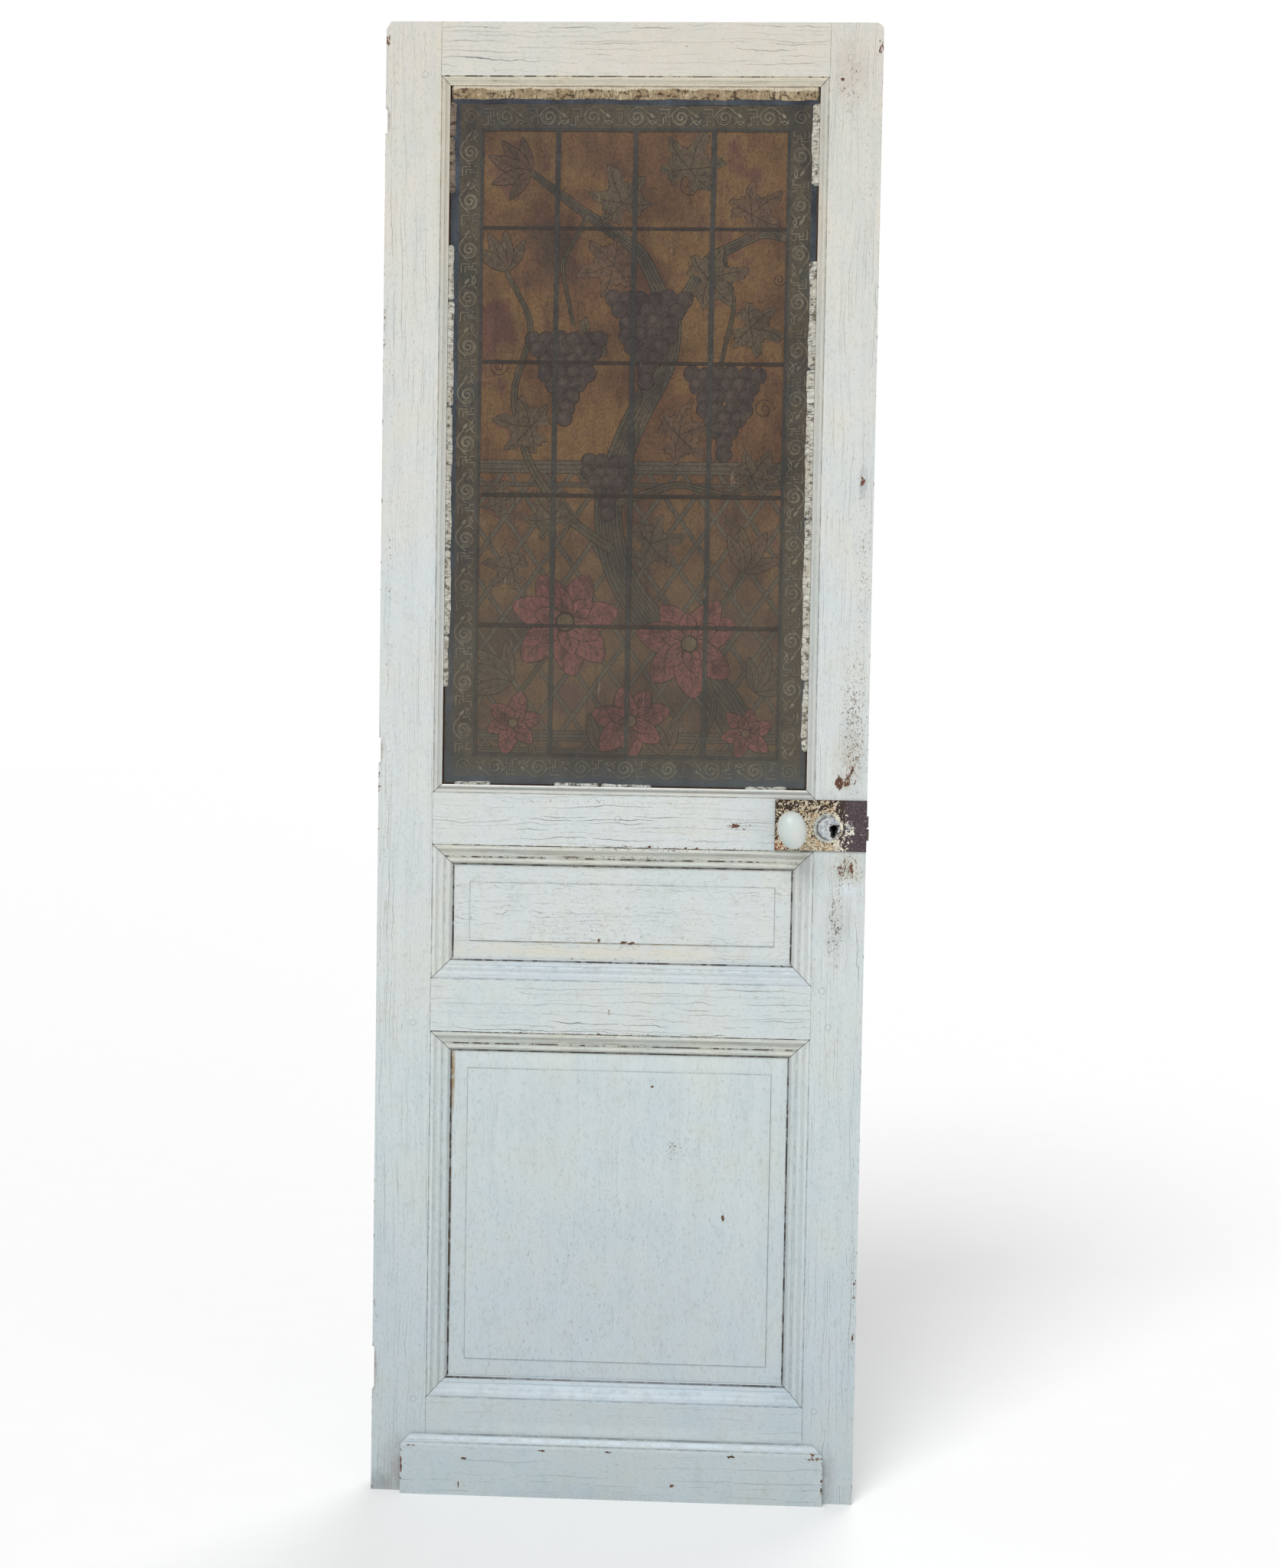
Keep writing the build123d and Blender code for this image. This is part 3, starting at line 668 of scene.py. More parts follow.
# Grain up or not, the cracks' spacing, length, width, curl and depth, the brush's fineness and
# strength.
coats = {
    "stile_paint": (True, (4.2, 120.0, 0.3, 6.0, 0.46), (0.16, 0.2)),
    "rail_paint": (False, (6.6, 120.0, 0.46, 9.0, 0.95), (0.2, 0.18)),
    "upper_panel_paint": (False, (6.0, 60.0, 0.36, 20.0, 0.5), (0.2, 0.15)),
    "lower_panel_paint": (True, (11.0, 60.0, 0.3, 8.0, 0.2), (0.05, 0.3)),
    "foot_paint": (False, (12.0, 80.0, 0.36, 8.0, 0.35), (0.1, 0.3)),
}
places = {
    "stile_paint": (stile_wear, stile_pepper, stile_stains_and_shadow, stile_pegs),
    "rail_paint": (rail_wear, rail_pepper, rail_stains, [(360, 1029)]),
    "upper_panel_paint": (panel_wear, panel_pepper, panel_stains),
    "lower_panel_paint": (low_wear, low_pepper, low_stains),
    "foot_paint": (board_wear, board_pepper, foot_stains_shadows_highlights),
}
painted = {
    "stile_paint": ["hinge_stile", "lock_stile", "pegs"],
    "rail_paint": ["top_rail", "lock_rail", "frieze_rail"],
    "upper_panel_paint": ["upper_panel"],
    "lower_panel_paint": ["lower_panel"],
    "foot_paint": ["bottom_rail", "weather_board"],
}


def dress(names, material):
    """Gives CAD pieces a finish."""
    for name in names:
        nodes[name].data.materials.clear()
        nodes[name].data.materials.append(material)


for name, settings in coats.items():
    dress(painted[name], painted_wood(name, *settings, *places[name]))
print("painted", sum(map(len, painted.values())), "pieces in", len(coats), "coats")

# %% [markdown]
# ## Making meshes from arrays
# A closed skin is a stack of loops: each loop runs round a cross-section, and the loops follow one
# another along a path. Quads join neighbours and a flat cap closes each end. With numpy the corner
# numbers of every quad come from one formula, so a thousand small pieces are as easy as one.


# %% Loops into a closed skin
class Skins:
    """Collects closed skins, so that many small ones make a single mesh."""

    def __init__(self):
        self.points, self.faces, self.count = [], [], 0

    def add(self, loops):
        """Loops are rows of corners, shape (along, round, 3); both ends are capped."""
        along, around = loops.shape[:2]
        rows = np.arange(along - 1)[:, None] * around
        here = rows + np.arange(around)[None]
        beside = rows + (np.arange(around)[None] + 1) % around
        quads = np.stack([here, here + around, beside + around, beside], -1).reshape(-1, 4)
        ends = [list(range(around)), list(range((along - 1) * around, along * around))[::-1]]
        self.points.append(loops.reshape(-1, 3))
        self.faces += (quads + self.count).tolist()
        self.faces += [[corner + self.count for corner in end] for end in ends]
        self.count += along * around

    def build(self, name, material, body="leaf", slot=None, smooth=False):
        """Makes one mesh of all the skins, which rides on a body and has the material. The slot is
        not used.
        """
        mesh = bpy.data.meshes.new(name)
        mesh.from_pydata(np.concatenate(self.points).tolist(), [], self.faces)
        outward(mesh)
        mesh.materials.append(material)
        mesh.shade_smooth() if smooth else mesh.shade_flat()
        piece = bpy.data.objects.new(name, mesh)
        bpy.context.scene.collection.objects.link(piece)
        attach(piece, body)
        print(name, len(mesh.polygons), "faces")
        return piece


def outward(mesh):
    """Merges doubles and turns every face outwards, which also closes pinched ends."""
    work = bmesh.new()
    work.from_mesh(mesh)
    bmesh.ops.remove_doubles(work, verts=work.verts, dist=1e-7)
    bmesh.ops.recalc_face_normals(work, faces=work.faces)
    work.to_mesh(mesh)
    work.free()
    mesh.update()


def ribbon(skins, path, half_width, front, back):
    """A flat strip along a path of x and z: its sides are the path moved each way along
    its normal by half the width."""
    path = np.asarray(path, float)
    way = np.gradient(path, axis=0)
    way /= np.maximum(np.linalg.norm(way, axis=1, keepdims=True), 1e-9)
    normal = np.stack([-way[:, 1], way[:, 0]], -1) * np.broadcast_to(half_width, len(path))[:, None]
    left, right = path + normal, path - normal
    ring = np.stack([left, right, right, left], axis=1)
    skins.add(on_leaf(ring[..., 0], [front, front, back, back], ring[..., 1]))


def wobble(places, seed, size, waves=(0.9, 2.1, 4.7, 9.3)):
    """A smooth uneven line: a few sine waves with seeded starts, the short ones smaller."""
    starts = np.random.default_rng(seed).uniform(0, 2 * np.pi, len(waves))
    shares = range(1, len(waves) + 1)
    total = sum(np.sin(places * w + start) / n for w, start, n in zip(waves, starts, shares))
    return size * total / 2


# %% [markdown]
# ## The printed film
# A translucent sheet printed in imitation of leaded glass is stuck to the pane. Its ground is a
# mottled amber, browner towards the foot and dusty all over. A print has no thickness, but a picture
# can't be used, so its drawing is laid on as thin slabs. Each one lies a few thousandths of a
# millimetre in front of the last, like ink on ink, because two faces in one place flicker.


# %% Inks for the film
def ink(name, *tones, scale=0.03, veil=0.46):
    """A printed colour: its tones follow one another over cloudy noise. Fine grain, drips,
    dark spots, dust and scrapes lie over it, and it turns browner towards the foot."""
    finish = Finish(name, Specular_IOR_Level=0.25, Roughness=0.5)
    clouds = finish.noise((scale, scale, scale * 0.8), 5.0, 0.62)
    stops = [(0.36 + 0.28 * n / (len(tones) - 1), tint) for n, tint in enumerate(tones)]
    grain = finish.noise((0.3, 0.3, 0.22), 4.0, 0.7)
    drips = finish.noise((0.07, 0.07, 0.008), 4.0, 0.65)
    tint = finish.shade(
        finish.ramp(clouds, *stops),
        (grain.rise(0.46, 0.66), (0.66, 0.67, 0.7)),
        (grain.rise(0.46, 0.34), (1.2, 1.16, 1.12)),
        (drips.rise(0.5, 0.66), (0.82, 0.82, 0.84)),
    )
    spots = finish.noise((0.22, 0.22, 0.22), 3.0, 0.7)
    dust = finish.noise((0.05, 0.05, 0.05), 6.0, 0.75)
    scrape = finish.noise((0.09, 0.09, 0.014), 4.0, 0.7)
    tint = finish.cover(
        tint,
        (finish.z.rise(1640.0, 1240.0) * veil, (86, 82, 72)),
        (spots.rise(0.66, 0.7) * 0.5, (52, 40, 32)),
        (dust.rise(0.56, 0.74) * 0.12, (150, 138, 120)),
        (scrape.rise(0.68, 0.74) * 0.25, (170, 160, 148)),
    )
    patch = finish.noise((0.007, 0.007, 0.006), 4.0, 0.6)
    tint = finish.shade(tint, (patch.rise(0.46, 0.62), (0.74, 0.74, 0.78)))
    tint = finish.cover(tint, (finish.z.rise(1125.0, 1085.0) * 0.24, (84, 96, 104)))
    return finish.set(Base_Color=tint)


amber = ((74, 59, 48), (91, 67, 51), (100, 75, 53), (109, 85, 58), (92, 66, 55))
film_inks = {
    "ground": ink("film_ground", *amber, scale=0.009),
    "trellis": ink("film_trellis", (80, 73, 63), (92, 82, 68)),
    "band": ink("film_band", (64, 61, 54), (80, 71, 57), (72, 71, 66), scale=0.014),
    "scroll": ink("film_scroll", (96, 90, 75), (126, 119, 101), veil=0.1),
    "lead": ink("film_lead", (60, 58, 54), (66, 63, 58), veil=0.3),
    "lead_level": ink("film_lead_level", (52, 45, 40), (60, 51, 44), veil=0.25),
    "rim": ink("film_rim", (44, 48, 54), (68, 76, 84)),
    "outline": ink("film_outline", (46, 38, 33), (58, 48, 41), veil=0.25),
    "stem": ink("film_stem", (72, 66, 54), (88, 80, 62)),
    "bark": ink("film_bark", (66, 62, 54), (80, 74, 62), (90, 81, 65)),
    "leaf": ink("film_leaf", (74, 66, 54), (90, 78, 61), (84, 68, 56), scale=0.04),
    "rusty": ink("film_rusty", (82, 66, 54), (98, 77, 60), scale=0.04),
    "grape": ink("film_grape", (60, 52, 49), (76, 65, 59), scale=0.08),
    "shine": ink("film_shine", (68, 60, 56), (82, 71, 64), scale=0.08),
    "petal": ink("film_petal", (88, 60, 54), (124, 80, 73), (98, 66, 60), scale=0.05, veil=0.3),
    "heart": ink("film_heart", (92, 74, 54), (110, 91, 66), scale=0.08),
}

# %% [markdown]
# ### A press for the print
# The press keeps one mesh for each ink, and how much ink lies where. A stroke is a ribbon along a
# path or a slab with an outline, and every stroke stands one layer in front of the ink that it lies
# on. A drawn form is two strokes: a dark one slightly larger, then its colour.


# %% The press
FIRST_INK, LAYER = 0.02, 0.004
INK_BACK = FILM_FRONT + FIRST_INK
SQUARE, SQUARES, FIRST_SQUARE = 5.6, (100, 190), (90.0, 1070.0)


def slab(skins, outline, front, back):
    """A flat slab: its outline in x and z once at the front and once at the back."""
    skins.add(on_leaf(outline[:, 0], [[front], [back]], outline[:, 1]))


def smooth_path(points, count=120, passes=60):
    """A soft curve near given points: straight runs, each point then moved many times to
    the mean of its neighbours and itself."""
    points = np.asarray(points, float)
    reach = np.r_[0, np.cumsum(np.linalg.norm(np.diff(points, axis=0), axis=1))]
    places = np.linspace(0, reach[-1], count)
    path = np.stack([np.interp(places, reach, points[:, axis]) for axis in (0, 1)], -1)
    for _ in range(passes):
        path[1:-1] = (path[:-2] + 2 * path[1:-1] + path[2:]) / 4
    return path


class Press:
    """Prints strokes in named inks, each in front of the ink that it lies on."""

    def __init__(self):
        self.skins = {}
        self.layers = np.zeros(SQUARES, int)

    def over(self, points, reach):
        """The front of a stroke: one layer over the thickest ink in the squares of a
        coarse grid that its points, widened by its reach, fall in."""
        squares = ((np.asarray(points) - FIRST_SQUARE) / SQUARE).round().astype(int)
        spread = np.arange(-1, 2) * max(1, round(reach / SQUARE))
        x = np.clip(squares[:, 0, None, None] + spread[:, None], 0, SQUARES[0] - 1)
        z = np.clip(squares[:, 1, None, None] + spread[None, :], 0, SQUARES[1] - 1)
        layer = self.layers[x, z].max() + 1
        self.layers[x, z] = layer
        return FILM_FRONT - FIRST_INK - LAYER * layer

    def line(self, tone, path, half_width):
        """A stroke along a path, which may be thicker in one place than in another."""
        front = self.over(path, np.max(half_width))
        ribbon(self.skins.setdefault(tone, Skins()), path, half_width, front, INK_BACK)

    def form(self, tone, outline):
        """A filled outline. Its squares are found along lines from its middle."""
        middle = outline.mean(axis=0)
        inner = middle + (outline - middle) * np.linspace(0, 1, 5)[:, None, None]
        front = self.over(inner.reshape(-1, 2), SQUARE)
        slab(self.skins.setdefault(tone, Skins()), outline, front, INK_BACK)

    def build(self):
        for tone, skins in self.skins.items():
            skins.build("print_" + tone, film_inks[tone], slot="film")
        print("the print stands", round(FIRST_INK + LAYER * self.layers.max(), 2), "mm proud")


press = Press()
PICTURE = (143.0, 596.0, 1122.0, 2047.0)
left, right, low, high = PICTURE


def clipped(start, end, top):
    """The part of a straight line inside the picture and under a top: the shares of the
    way at which it enters and leaves bound it."""
    start, way = np.asarray(start, float), np.asarray(end, float) - start
    enter, leave = 0.0, 1.0
    for axis, bounds in ((0, (left, right)), (1, (low, top))):
        shares = sorted((bound - start[axis]) / way[axis] for bound in bounds)
        enter, leave = max(enter, shares[0]), min(leave, shares[1])
    return np.linspace(enter, leave, 12)[:, None] * way + start if leave > enter + 0.02 else None


# %% [markdown]
# ### A trellis, a vine and open flowers
# The picture inside the leads is of the stock kind that printers of the time sold: a low trellis, a
# vine with lobed leaves and bunches of grapes that climbs over it, and red flowers at its foot.
# Lobes, petals and grapes are one formula each, and random numbers with a fixed seed vary them.

# %% Trellis
for side in (-1, 1):
    for step in range(-6, 18):
        foot_x = left + step * 52.0 + (0 if side > 0 else 30)
        bar_path = clipped((foot_x, low), (foot_x + side * 330.0, low + 470.0), low + 430.0)
        if bar_path is not None:
            press.line("outline", bar_path, 3.6)
            press.line("trellis", bar_path, 2.9)
for height, half in ((low + 430.0, 9.0), (low + 404.0, 3.0), (low + 30.0, 7.0), (low + 6.0, 5.0)):
    rail = np.stack([np.linspace(left, right, 30), np.full(30, height)], -1)
    press.line("outline", rail, half + 0.9)
    press.line("trellis", rail, half)
    for share in (-0.45, 0.4):
        press.line("outline", rail + (0, half * share), 0.4)


# %% Leaves, grapes and petals
LOBES = (
    (0.0, 1.0, 0.42),
    (0.98, 0.86, 0.4),
    (-0.98, 0.86, 0.4),
    (1.95, 0.7, 0.42),
    (-1.95, 0.7, 0.42),
)


def vine_leaf(x, z, reach, angle, tone="leaf"):
    """Five lobes: at each turn the leaf reaches as far as the longest of five bells set
    round its stalk, and a fast small wave gives its teeth. Veins run out to the lobes and
    short ones branch off them."""
    turn = np.linspace(-np.pi, np.pi, 150, endpoint=False)
    bells = [length * np.exp(-(((turn - at) / wide) ** 2)) for at, length, wide in LOBES]
    radius = np.maximum(np.max(bells, axis=0), 0.52 - 0.34 * (abs(turn) > 2.8))
    radius = radius * (1 + 0.05 * np.sin(turn * 22))
    for layer, grow in (("outline", 1.3), (tone, 0.0)):
        size = reach * radius + grow
        ring = np.stack([x + size * np.cos(turn + angle), z + size * np.sin(turn + angle)], -1)
        press.form(layer, ring)
    for at, length, _ in LOBES:
        way = angle + at
        out = np.linspace(0, reach * length * 0.88, 8)[:, None]
        bend = 0.1 * np.sin(np.pi * out / out[-1]) * np.sign(at + 0.01)
        vein = np.array([x, z]) + out * np.c_[np.cos(way + bend), np.sin(way + bend)]
        press.line("outline", vein, 0.55)
        for part, turn_off in ((2, 0.7), (2, -0.7), (4, 0.6), (4, -0.6)):
            twig = np.linspace(0, reach * 0.2, 4)[:, None]
            aim = way + turn_off
            press.line("outline", vein[part] + twig * [[np.cos(aim), np.sin(aim)]], 0.3)


def blade(root, angle, length, width, bend, tone="leaf", fullness=1.0):
    """A leaf or petal: its midrib turns evenly by the bend, and its half width is a sine
    of the way along, raised to a power that makes it slim or full."""
    along = np.linspace(0.0, 1.0, 17)
    heading = angle + bend * along
    steps = np.stack([np.cos(heading), np.sin(heading)], -1) * length / 16
    path = np.asarray(root) + np.cumsum(steps, axis=0) - steps[0]
    swell = np.maximum(np.sin(np.pi * along**0.85), 0) ** fullness
    press.line("outline", path, width * swell + 1.15)
    press.line(tone, path, width * swell + 0.02)
    press.line("outline", path[1:-2], 0.4)
    for part in (4, 7, 10):
        for side in (-1, 1):
            turn = heading[part] + side * 0.6
            out = np.linspace(0, width * swell[part] * 1.1, 4)[:, None]
            press.line("outline", path[part] + out * [[np.cos(turn), np.sin(turn)]], 0.25)


def disc(tone, x, z, radius):
    """A round slab."""
    turn = np.linspace(0, 2 * np.pi, 22, endpoint=False)
    press.form(tone, np.stack([x + radius * np.cos(turn), z + radius * np.sin(turn)], -1))


def grapes(x, z, size, rows, seed):
    """A bunch: rows of round grapes, each row shorter than the one over it, set in the
    gaps of that row. Every grape has a small light spot on its upper left."""
    chance = np.random.default_rng(seed)
    for row in range(rows):
        across = max(1, round((rows - row) * 0.72))
        for place in range(across):
            gx = x + (place - (across - 1) / 2) * size * 1.75 + chance.uniform(-2, 2)
            gz = z - row * size * 1.45 + chance.uniform(-2, 2)
            disc("outline", gx, gz, size + 1.1)
            disc("grape", gx, gz, size)
            disc("shine", gx - size * 0.25, gz + size * 0.28, size * 0.42)


def flower(x, z, reach, petals, seed):
    """An open flower: an outer and an inner ring of petals fanned evenly round a heart, with
    short dark stamens."""
    chance = np.random.default_rng(seed)
    for size, count, start in ((1.0, petals, 0.25), (0.62, petals - 1, 0.6)):
        for number in range(count):
            angle = 2 * np.pi * (number + start) / count + chance.uniform(-0.12, 0.12)
            length = reach * size * chance.uniform(0.88, 1.06)
            blade((x, z), angle, length, length * 0.29, chance.uniform(-0.35, 0.35), "petal", 0.6)
    disc("outline", x, z, reach * 0.17)
    disc("heart", x, z, reach * 0.14)
    out = np.linspace(0.12, 0.3, 4)[:, None] * reach
    for number in range(9):
        angle = 2 * np.pi * number / 9
        press.line("outline", (x, z) + out * (np.cos(angle), np.sin(angle)), 0.5)


def spray(root, angle, count, length, seed, tone="leaf"):
    """Narrow leaves fanned from one point."""
    chance = np.random.default_rng(seed)
    for number in range(count):
        turn = angle + (number - (count - 1) / 2) * 0.52 + chance.uniform(-0.08, 0.08)
        long = length * (1 - 0.12 * abs(number - (count - 1) / 2)) * chance.uniform(0.9, 1.08)
        blade(root, turn, long, long * 0.16, chance.uniform(-0.3, 0.3), tone, 0.9)


def stem(points, thick, thin, tone="stem", grooves=1):
    """A branch that thins as it goes, with grooves beside its middle, each a wandering line."""
    path = smooth_path(points)
    width = np.linspace(thick, thin, len(path))
    press.line("outline", path, width + 1.2)
    press.line(tone, path, width)
    way = np.gradient(path, axis=0)
    side = np.stack([-way[:, 1], way[:, 0]], -1) / np.linalg.norm(way, axis=1)[:, None]
    for number in range(grooves):
        place = (number + 1) / (grooves + 1) * 2 - 1
        shift = width * (place + wobble(np.linspace(0, 14, len(path)), number, 0.1))
        press.line("outline", (path + side * shift[:, None])[3:-3], 0.5)


def tendril(x, z, size, turning, tone="outline", count=60):
    """A spiral that shrinks evenly as it turns, drawn as one thin line."""
    share = np.linspace(0, 1, count)
    radius, turn = size * (1 - 0.85 * share), turning * share
    press.line(tone, np.stack([x + radius * np.cos(turn), z + radius * np.sin(turn)], -1), 0.7)


# %% Draw the plant
trunk = [(560, 1122), (520, 1210), (430, 1290), (352, 1390), (330, 1500), (372, 1620)]
stem([*trunk, (430, 1720), (424, 1800)], 25.0, 15.0, "bark", 7)
stem([(430, 1770), (480, 1860), (560, 1900), (594, 1890)], 10.0, 5.0, "bark", 3)
stem([(424, 1780), (380, 1870), (290, 1930), (215, 1985)], 11.0, 4.0, "bark", 3)
stem([(345, 1430), (270, 1480), (215, 1560), (190, 1660), (225, 1760), (180, 1840)], 6.5, 2.6)
stem([(300, 1920), (262, 1850), (282, 1760)], 3.0, 1.6)
stem([(500, 1872), (520, 1790), (500, 1700)], 3.2, 1.8)
stem([(232, 1122), (205, 1210), (262, 1290)], 4.0, 2.0)
stem([(470, 1122), (505, 1200), (470, 1290), (540, 1400)], 4.2, 2.0)
stem([(350, 1500), (440, 1530), (520, 1510), (594, 1560)], 5.0, 2.4)
tendril(452, 1965, 20, 10.5)
tendril(170, 1700, 15, -10.5)
tendril(566, 1640, 16, 10.5)
tendril(585, 1830, 10, -10.5)
for x, z, length, angle, count, tone in (
    (196, 1230, 84, 2.5, 4, "leaf"),
    (560, 1222, 70, 0.9, 4, "leaf"),
    (215, 1985, 74, 2.9, 5, "rusty"),
    (330, 1130, 70, 1.2, 4, "leaf"),
    (430, 1126, 60, 1.9, 3, "rusty"),
    (180, 1840, 66, 1.7, 4, "leaf"),
    (540, 1400, 70, 1.2, 4, "rusty"),
):
    spray((x, z), angle, count, length, int(x + z), tone)
leaf_places = (
    (450, 1990, 62, 1.2, "leaf"),
    (352, 1940, 58, 1.9, "leaf"),
    (548, 1925, 54, 0.6, "rusty"),
    (480, 1830, 60, 0.2, "leaf"),
    (340, 1850, 56, 3.4, "rusty"),
    (300, 1720, 60, 2.6, "leaf"),
    (556, 1760, 52, -0.3, "leaf"),
    (220, 1610, 56, 2.9, "leaf"),
    (440, 1600, 58, 0.3, "rusty"),
    (556, 1540, 46, 0.9, "leaf"),
    (256, 1475, 50, 2.2, "leaf"),
    (196, 1400, 44, 2.9, "rusty"),
    (400, 1440, 52, 0.2, "leaf"),
    (160, 1500, 36, 2.5, "leaf"),
)
for x, z, size, angle, tone in leaf_places:
    vine_leaf(min(max(x, left + size), right - size), z, size, angle, tone)
grapes(392, 1800, 12.0, 8, 5)
grapes(272, 1740, 11.5, 8, 6)
grapes(508, 1690, 11.5, 8, 7)
grapes(336, 1560, 10.5, 6, 8)
flower(276, 1322, 88, 7, 3)
flower(462, 1292, 78, 7, 4)
flower(376, 1176, 60, 7, 5)
flower(200, 1170, 46, 6, 6)
flower(548, 1160, 40, 6, 7)

# %% [markdown]
# ### Leads and border
# The print divides its picture into four by five lights with dark lines, as real leads would, inside
# a band of scrolls and squared hooks. The band is one drawn unit, a hook and a spiral, repeated and
# turned along the four sides.


# %% Leads
def bar(tone, start, end, half_width, seed):
    """A hand-drawn straight line, its width a little uneven."""
    places = np.linspace(0, 1, 24)[:, None]
    path = np.asarray(start) + (np.asarray(end) - np.asarray(start)) * places
    press.line(tone, path, half_width * (1 + wobble(places[:, 0] * 9, seed, 0.14)))


for number, x in enumerate((255.5, 370.0, 485.5)):
    bar("lead", (x, low), (x, high), 3.7, number)
for number, z in enumerate((1903.0, 1706.0, 1510.0, 1316.0)):
    bar("lead_level", (left, z), (right, z), 2.7, number + 9)
band_sides = (
    ((left - 19.5, low - 36), (left - 19.5, high + 38), 19.0),
    ((right + 18, low - 36), (right + 18, high + 38), 17.5),
    ((left - 20, low - 18), (right + 20, low - 18), 18.0),
    ((left - 20, high + 18), (right + 20, high + 18), 18.5),
)
for start, end, half in band_sides:
    bar("band", start, end, half, 5)
rims = (
    ((103.5, 1084), (103.5, 2088), 6.0),
    ((633.5, 1084), (633.5, 2088), 4.0),
    ((99, 1084.5), (637, 1084.5), 5.0),
    ((99, 2092.5), (637, 2092.5), 9.0),
)
for number, (start, end, half) in enumerate(rims):
    bar("rim", start, end, half, number + 30)
frame_lines = (
    ((left, low), (left, high)),
    ((right, low), (right, high)),
    ((left, low), (right, low)),
    ((left, high), (right, high)),
)
for number, (start, end) in enumerate(frame_lines):
    bar("lead", start, end, 2.4, number + 20)


# %% Border scrolls and hooks
def band_unit(length, depth):
    """One repeat of the border as lines of (along, across): a squared hook, a double
    spiral, and curved strokes with a small leaf that join it to the next hook."""
    half = depth / 2
    hook = [(2, 0.14), (16, 0.14), (16, 0.5), (8, 0.5), (8, 0.86), (1, 0.86)]
    inner_hook = [(4, 0.32), (11.5, 0.32), (11.5, 0.68), (17, 0.68), (17, 0.88)]
    share = np.linspace(0, 1, 36)
    lines = [(np.array(hook) * (1, depth), 0.85), (np.array(inner_hook) * (1, depth), 0.7)]
    for size, fine in ((0.4, 0.9), (0.3, 0.5)):
        reach = size * depth * (1 - 0.86 * share)
        around = np.pi * 1.2 - share * np.pi * 3.4
        along = length * 0.52 + reach * np.cos(around)
        lines.append((np.stack([along, half + reach * np.sin(around)], -1), fine))
    bend = np.linspace(0, 1, 14)
    strokes = ((0.27, 0.52, 0.0, -0.46), (0.72, 0.27, 0.36, -0.2), (0.76, 0.22, -0.02, 0.34))
    for start, run, rise, bow in strokes:
        across = half + depth * (rise + bow * np.sin(np.pi * bend * 0.9))
        lines.append((np.stack([length * (start + run * bend), across], -1), 0.75))
    leaf_width = np.sin(np.pi * bend) * 2.2
    leaf = np.stack([length * (0.8 + 0.13 * bend), depth * (0.3 + 0.24 * bend)], -1)
    return [*lines, (leaf, leaf_width)]


sides = (
    ((left - 34, low), (0, 1), (1, 0), high - low, 32.0, 13),
    ((right + 33, high), (0, -1), (-1, 0), high - low, 31.0, 13),
    ((left, high + 34), (1, 0), (0, -1), right - left, 32.0, 7),
    ((right, low - 33), (-1, 0), (0, 1), right - left, 31.0, 7),
)
for start, along, across, length, depth, repeats in sides:
    unit = length / repeats
    for step in range(repeats):
        for line, half in band_unit(unit, depth):
            reach = line[:, :1] + step * unit
            path = np.asarray(start) + reach * np.asarray(along) + line[:, 1:] * np.asarray(across)
            press.line("scroll", path, half)
for z in (low - 18, high + 18):
    for x in (left - 18, right + 17):
        tendril(x, z, 12, 11, "scroll", 40)
press.build()

# %% [markdown]
# ### The sheet
# In the CAD model the film touches the glass, and two faces in one place flicker. A sheet a hair
# thinner stands for it here, so that from behind the light goes through the pane to its back.

# %% Film sheet
SHEET_GAP = 0.00008
film = nodes["printed_film"]
film_box = np.array([film.matrix_world @ Vector(corner) for corner in film.bound_box])
print("film in metres", film_box.min(axis=0).round(4), film_box.max(axis=0).round(4))
hinge_x, front_y, foot_z = film_box.min(axis=0)
lock_x, back_y, head_z = film_box.max(axis=0)
sheet = Skins()
sheet_corners = [(hinge_x, foot_z), (lock_x, foot_z), (lock_x, head_z), (hinge_x, head_z)]
sheet.add(np.array([[(x, y, z) for x, z in sheet_corners] for y in (front_y, back_y - SHEET_GAP)]))
film_sheet = sheet.build("film_sheet", film_inks["ground"], slot="film")
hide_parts("printed_film")

# %% [markdown]
# ## Glass
# The pane is ordinary old window glass with the film on its front, so from the front nothing of it
# shows, and from the back it lies over the sheet. A weak green skin that lets most light straight
# through is enough: bent light would cost time and leave the film's back dark.

# %% Glass pane
glass = Finish("old_glass", Roughness=0.08, Alpha=0.2)
streaks = glass.noise((0.004, 0.05, 0.011), 3.0)
skin = glass.mix(streaks.rise(0.4, 0.6), (150, 166, 156), (176, 186, 176))
glass.set(Base_Color=skin, Normal=glass.bump(streaks, 0.4, 0.3))
dress(["glass_pane"], glass.material)

# %% [markdown]
# ## Putty
# The glazier ran linseed putty against the rebate and bevelled it with a knife. It has dried,
# cracked across and fallen away in lengths, so each run ends in a ragged break. A run is a profile
# carried along the rebate: its toe wanders, its top wears down, and both ends pinch off. Cracks are
# too fine to model and lie in the material.


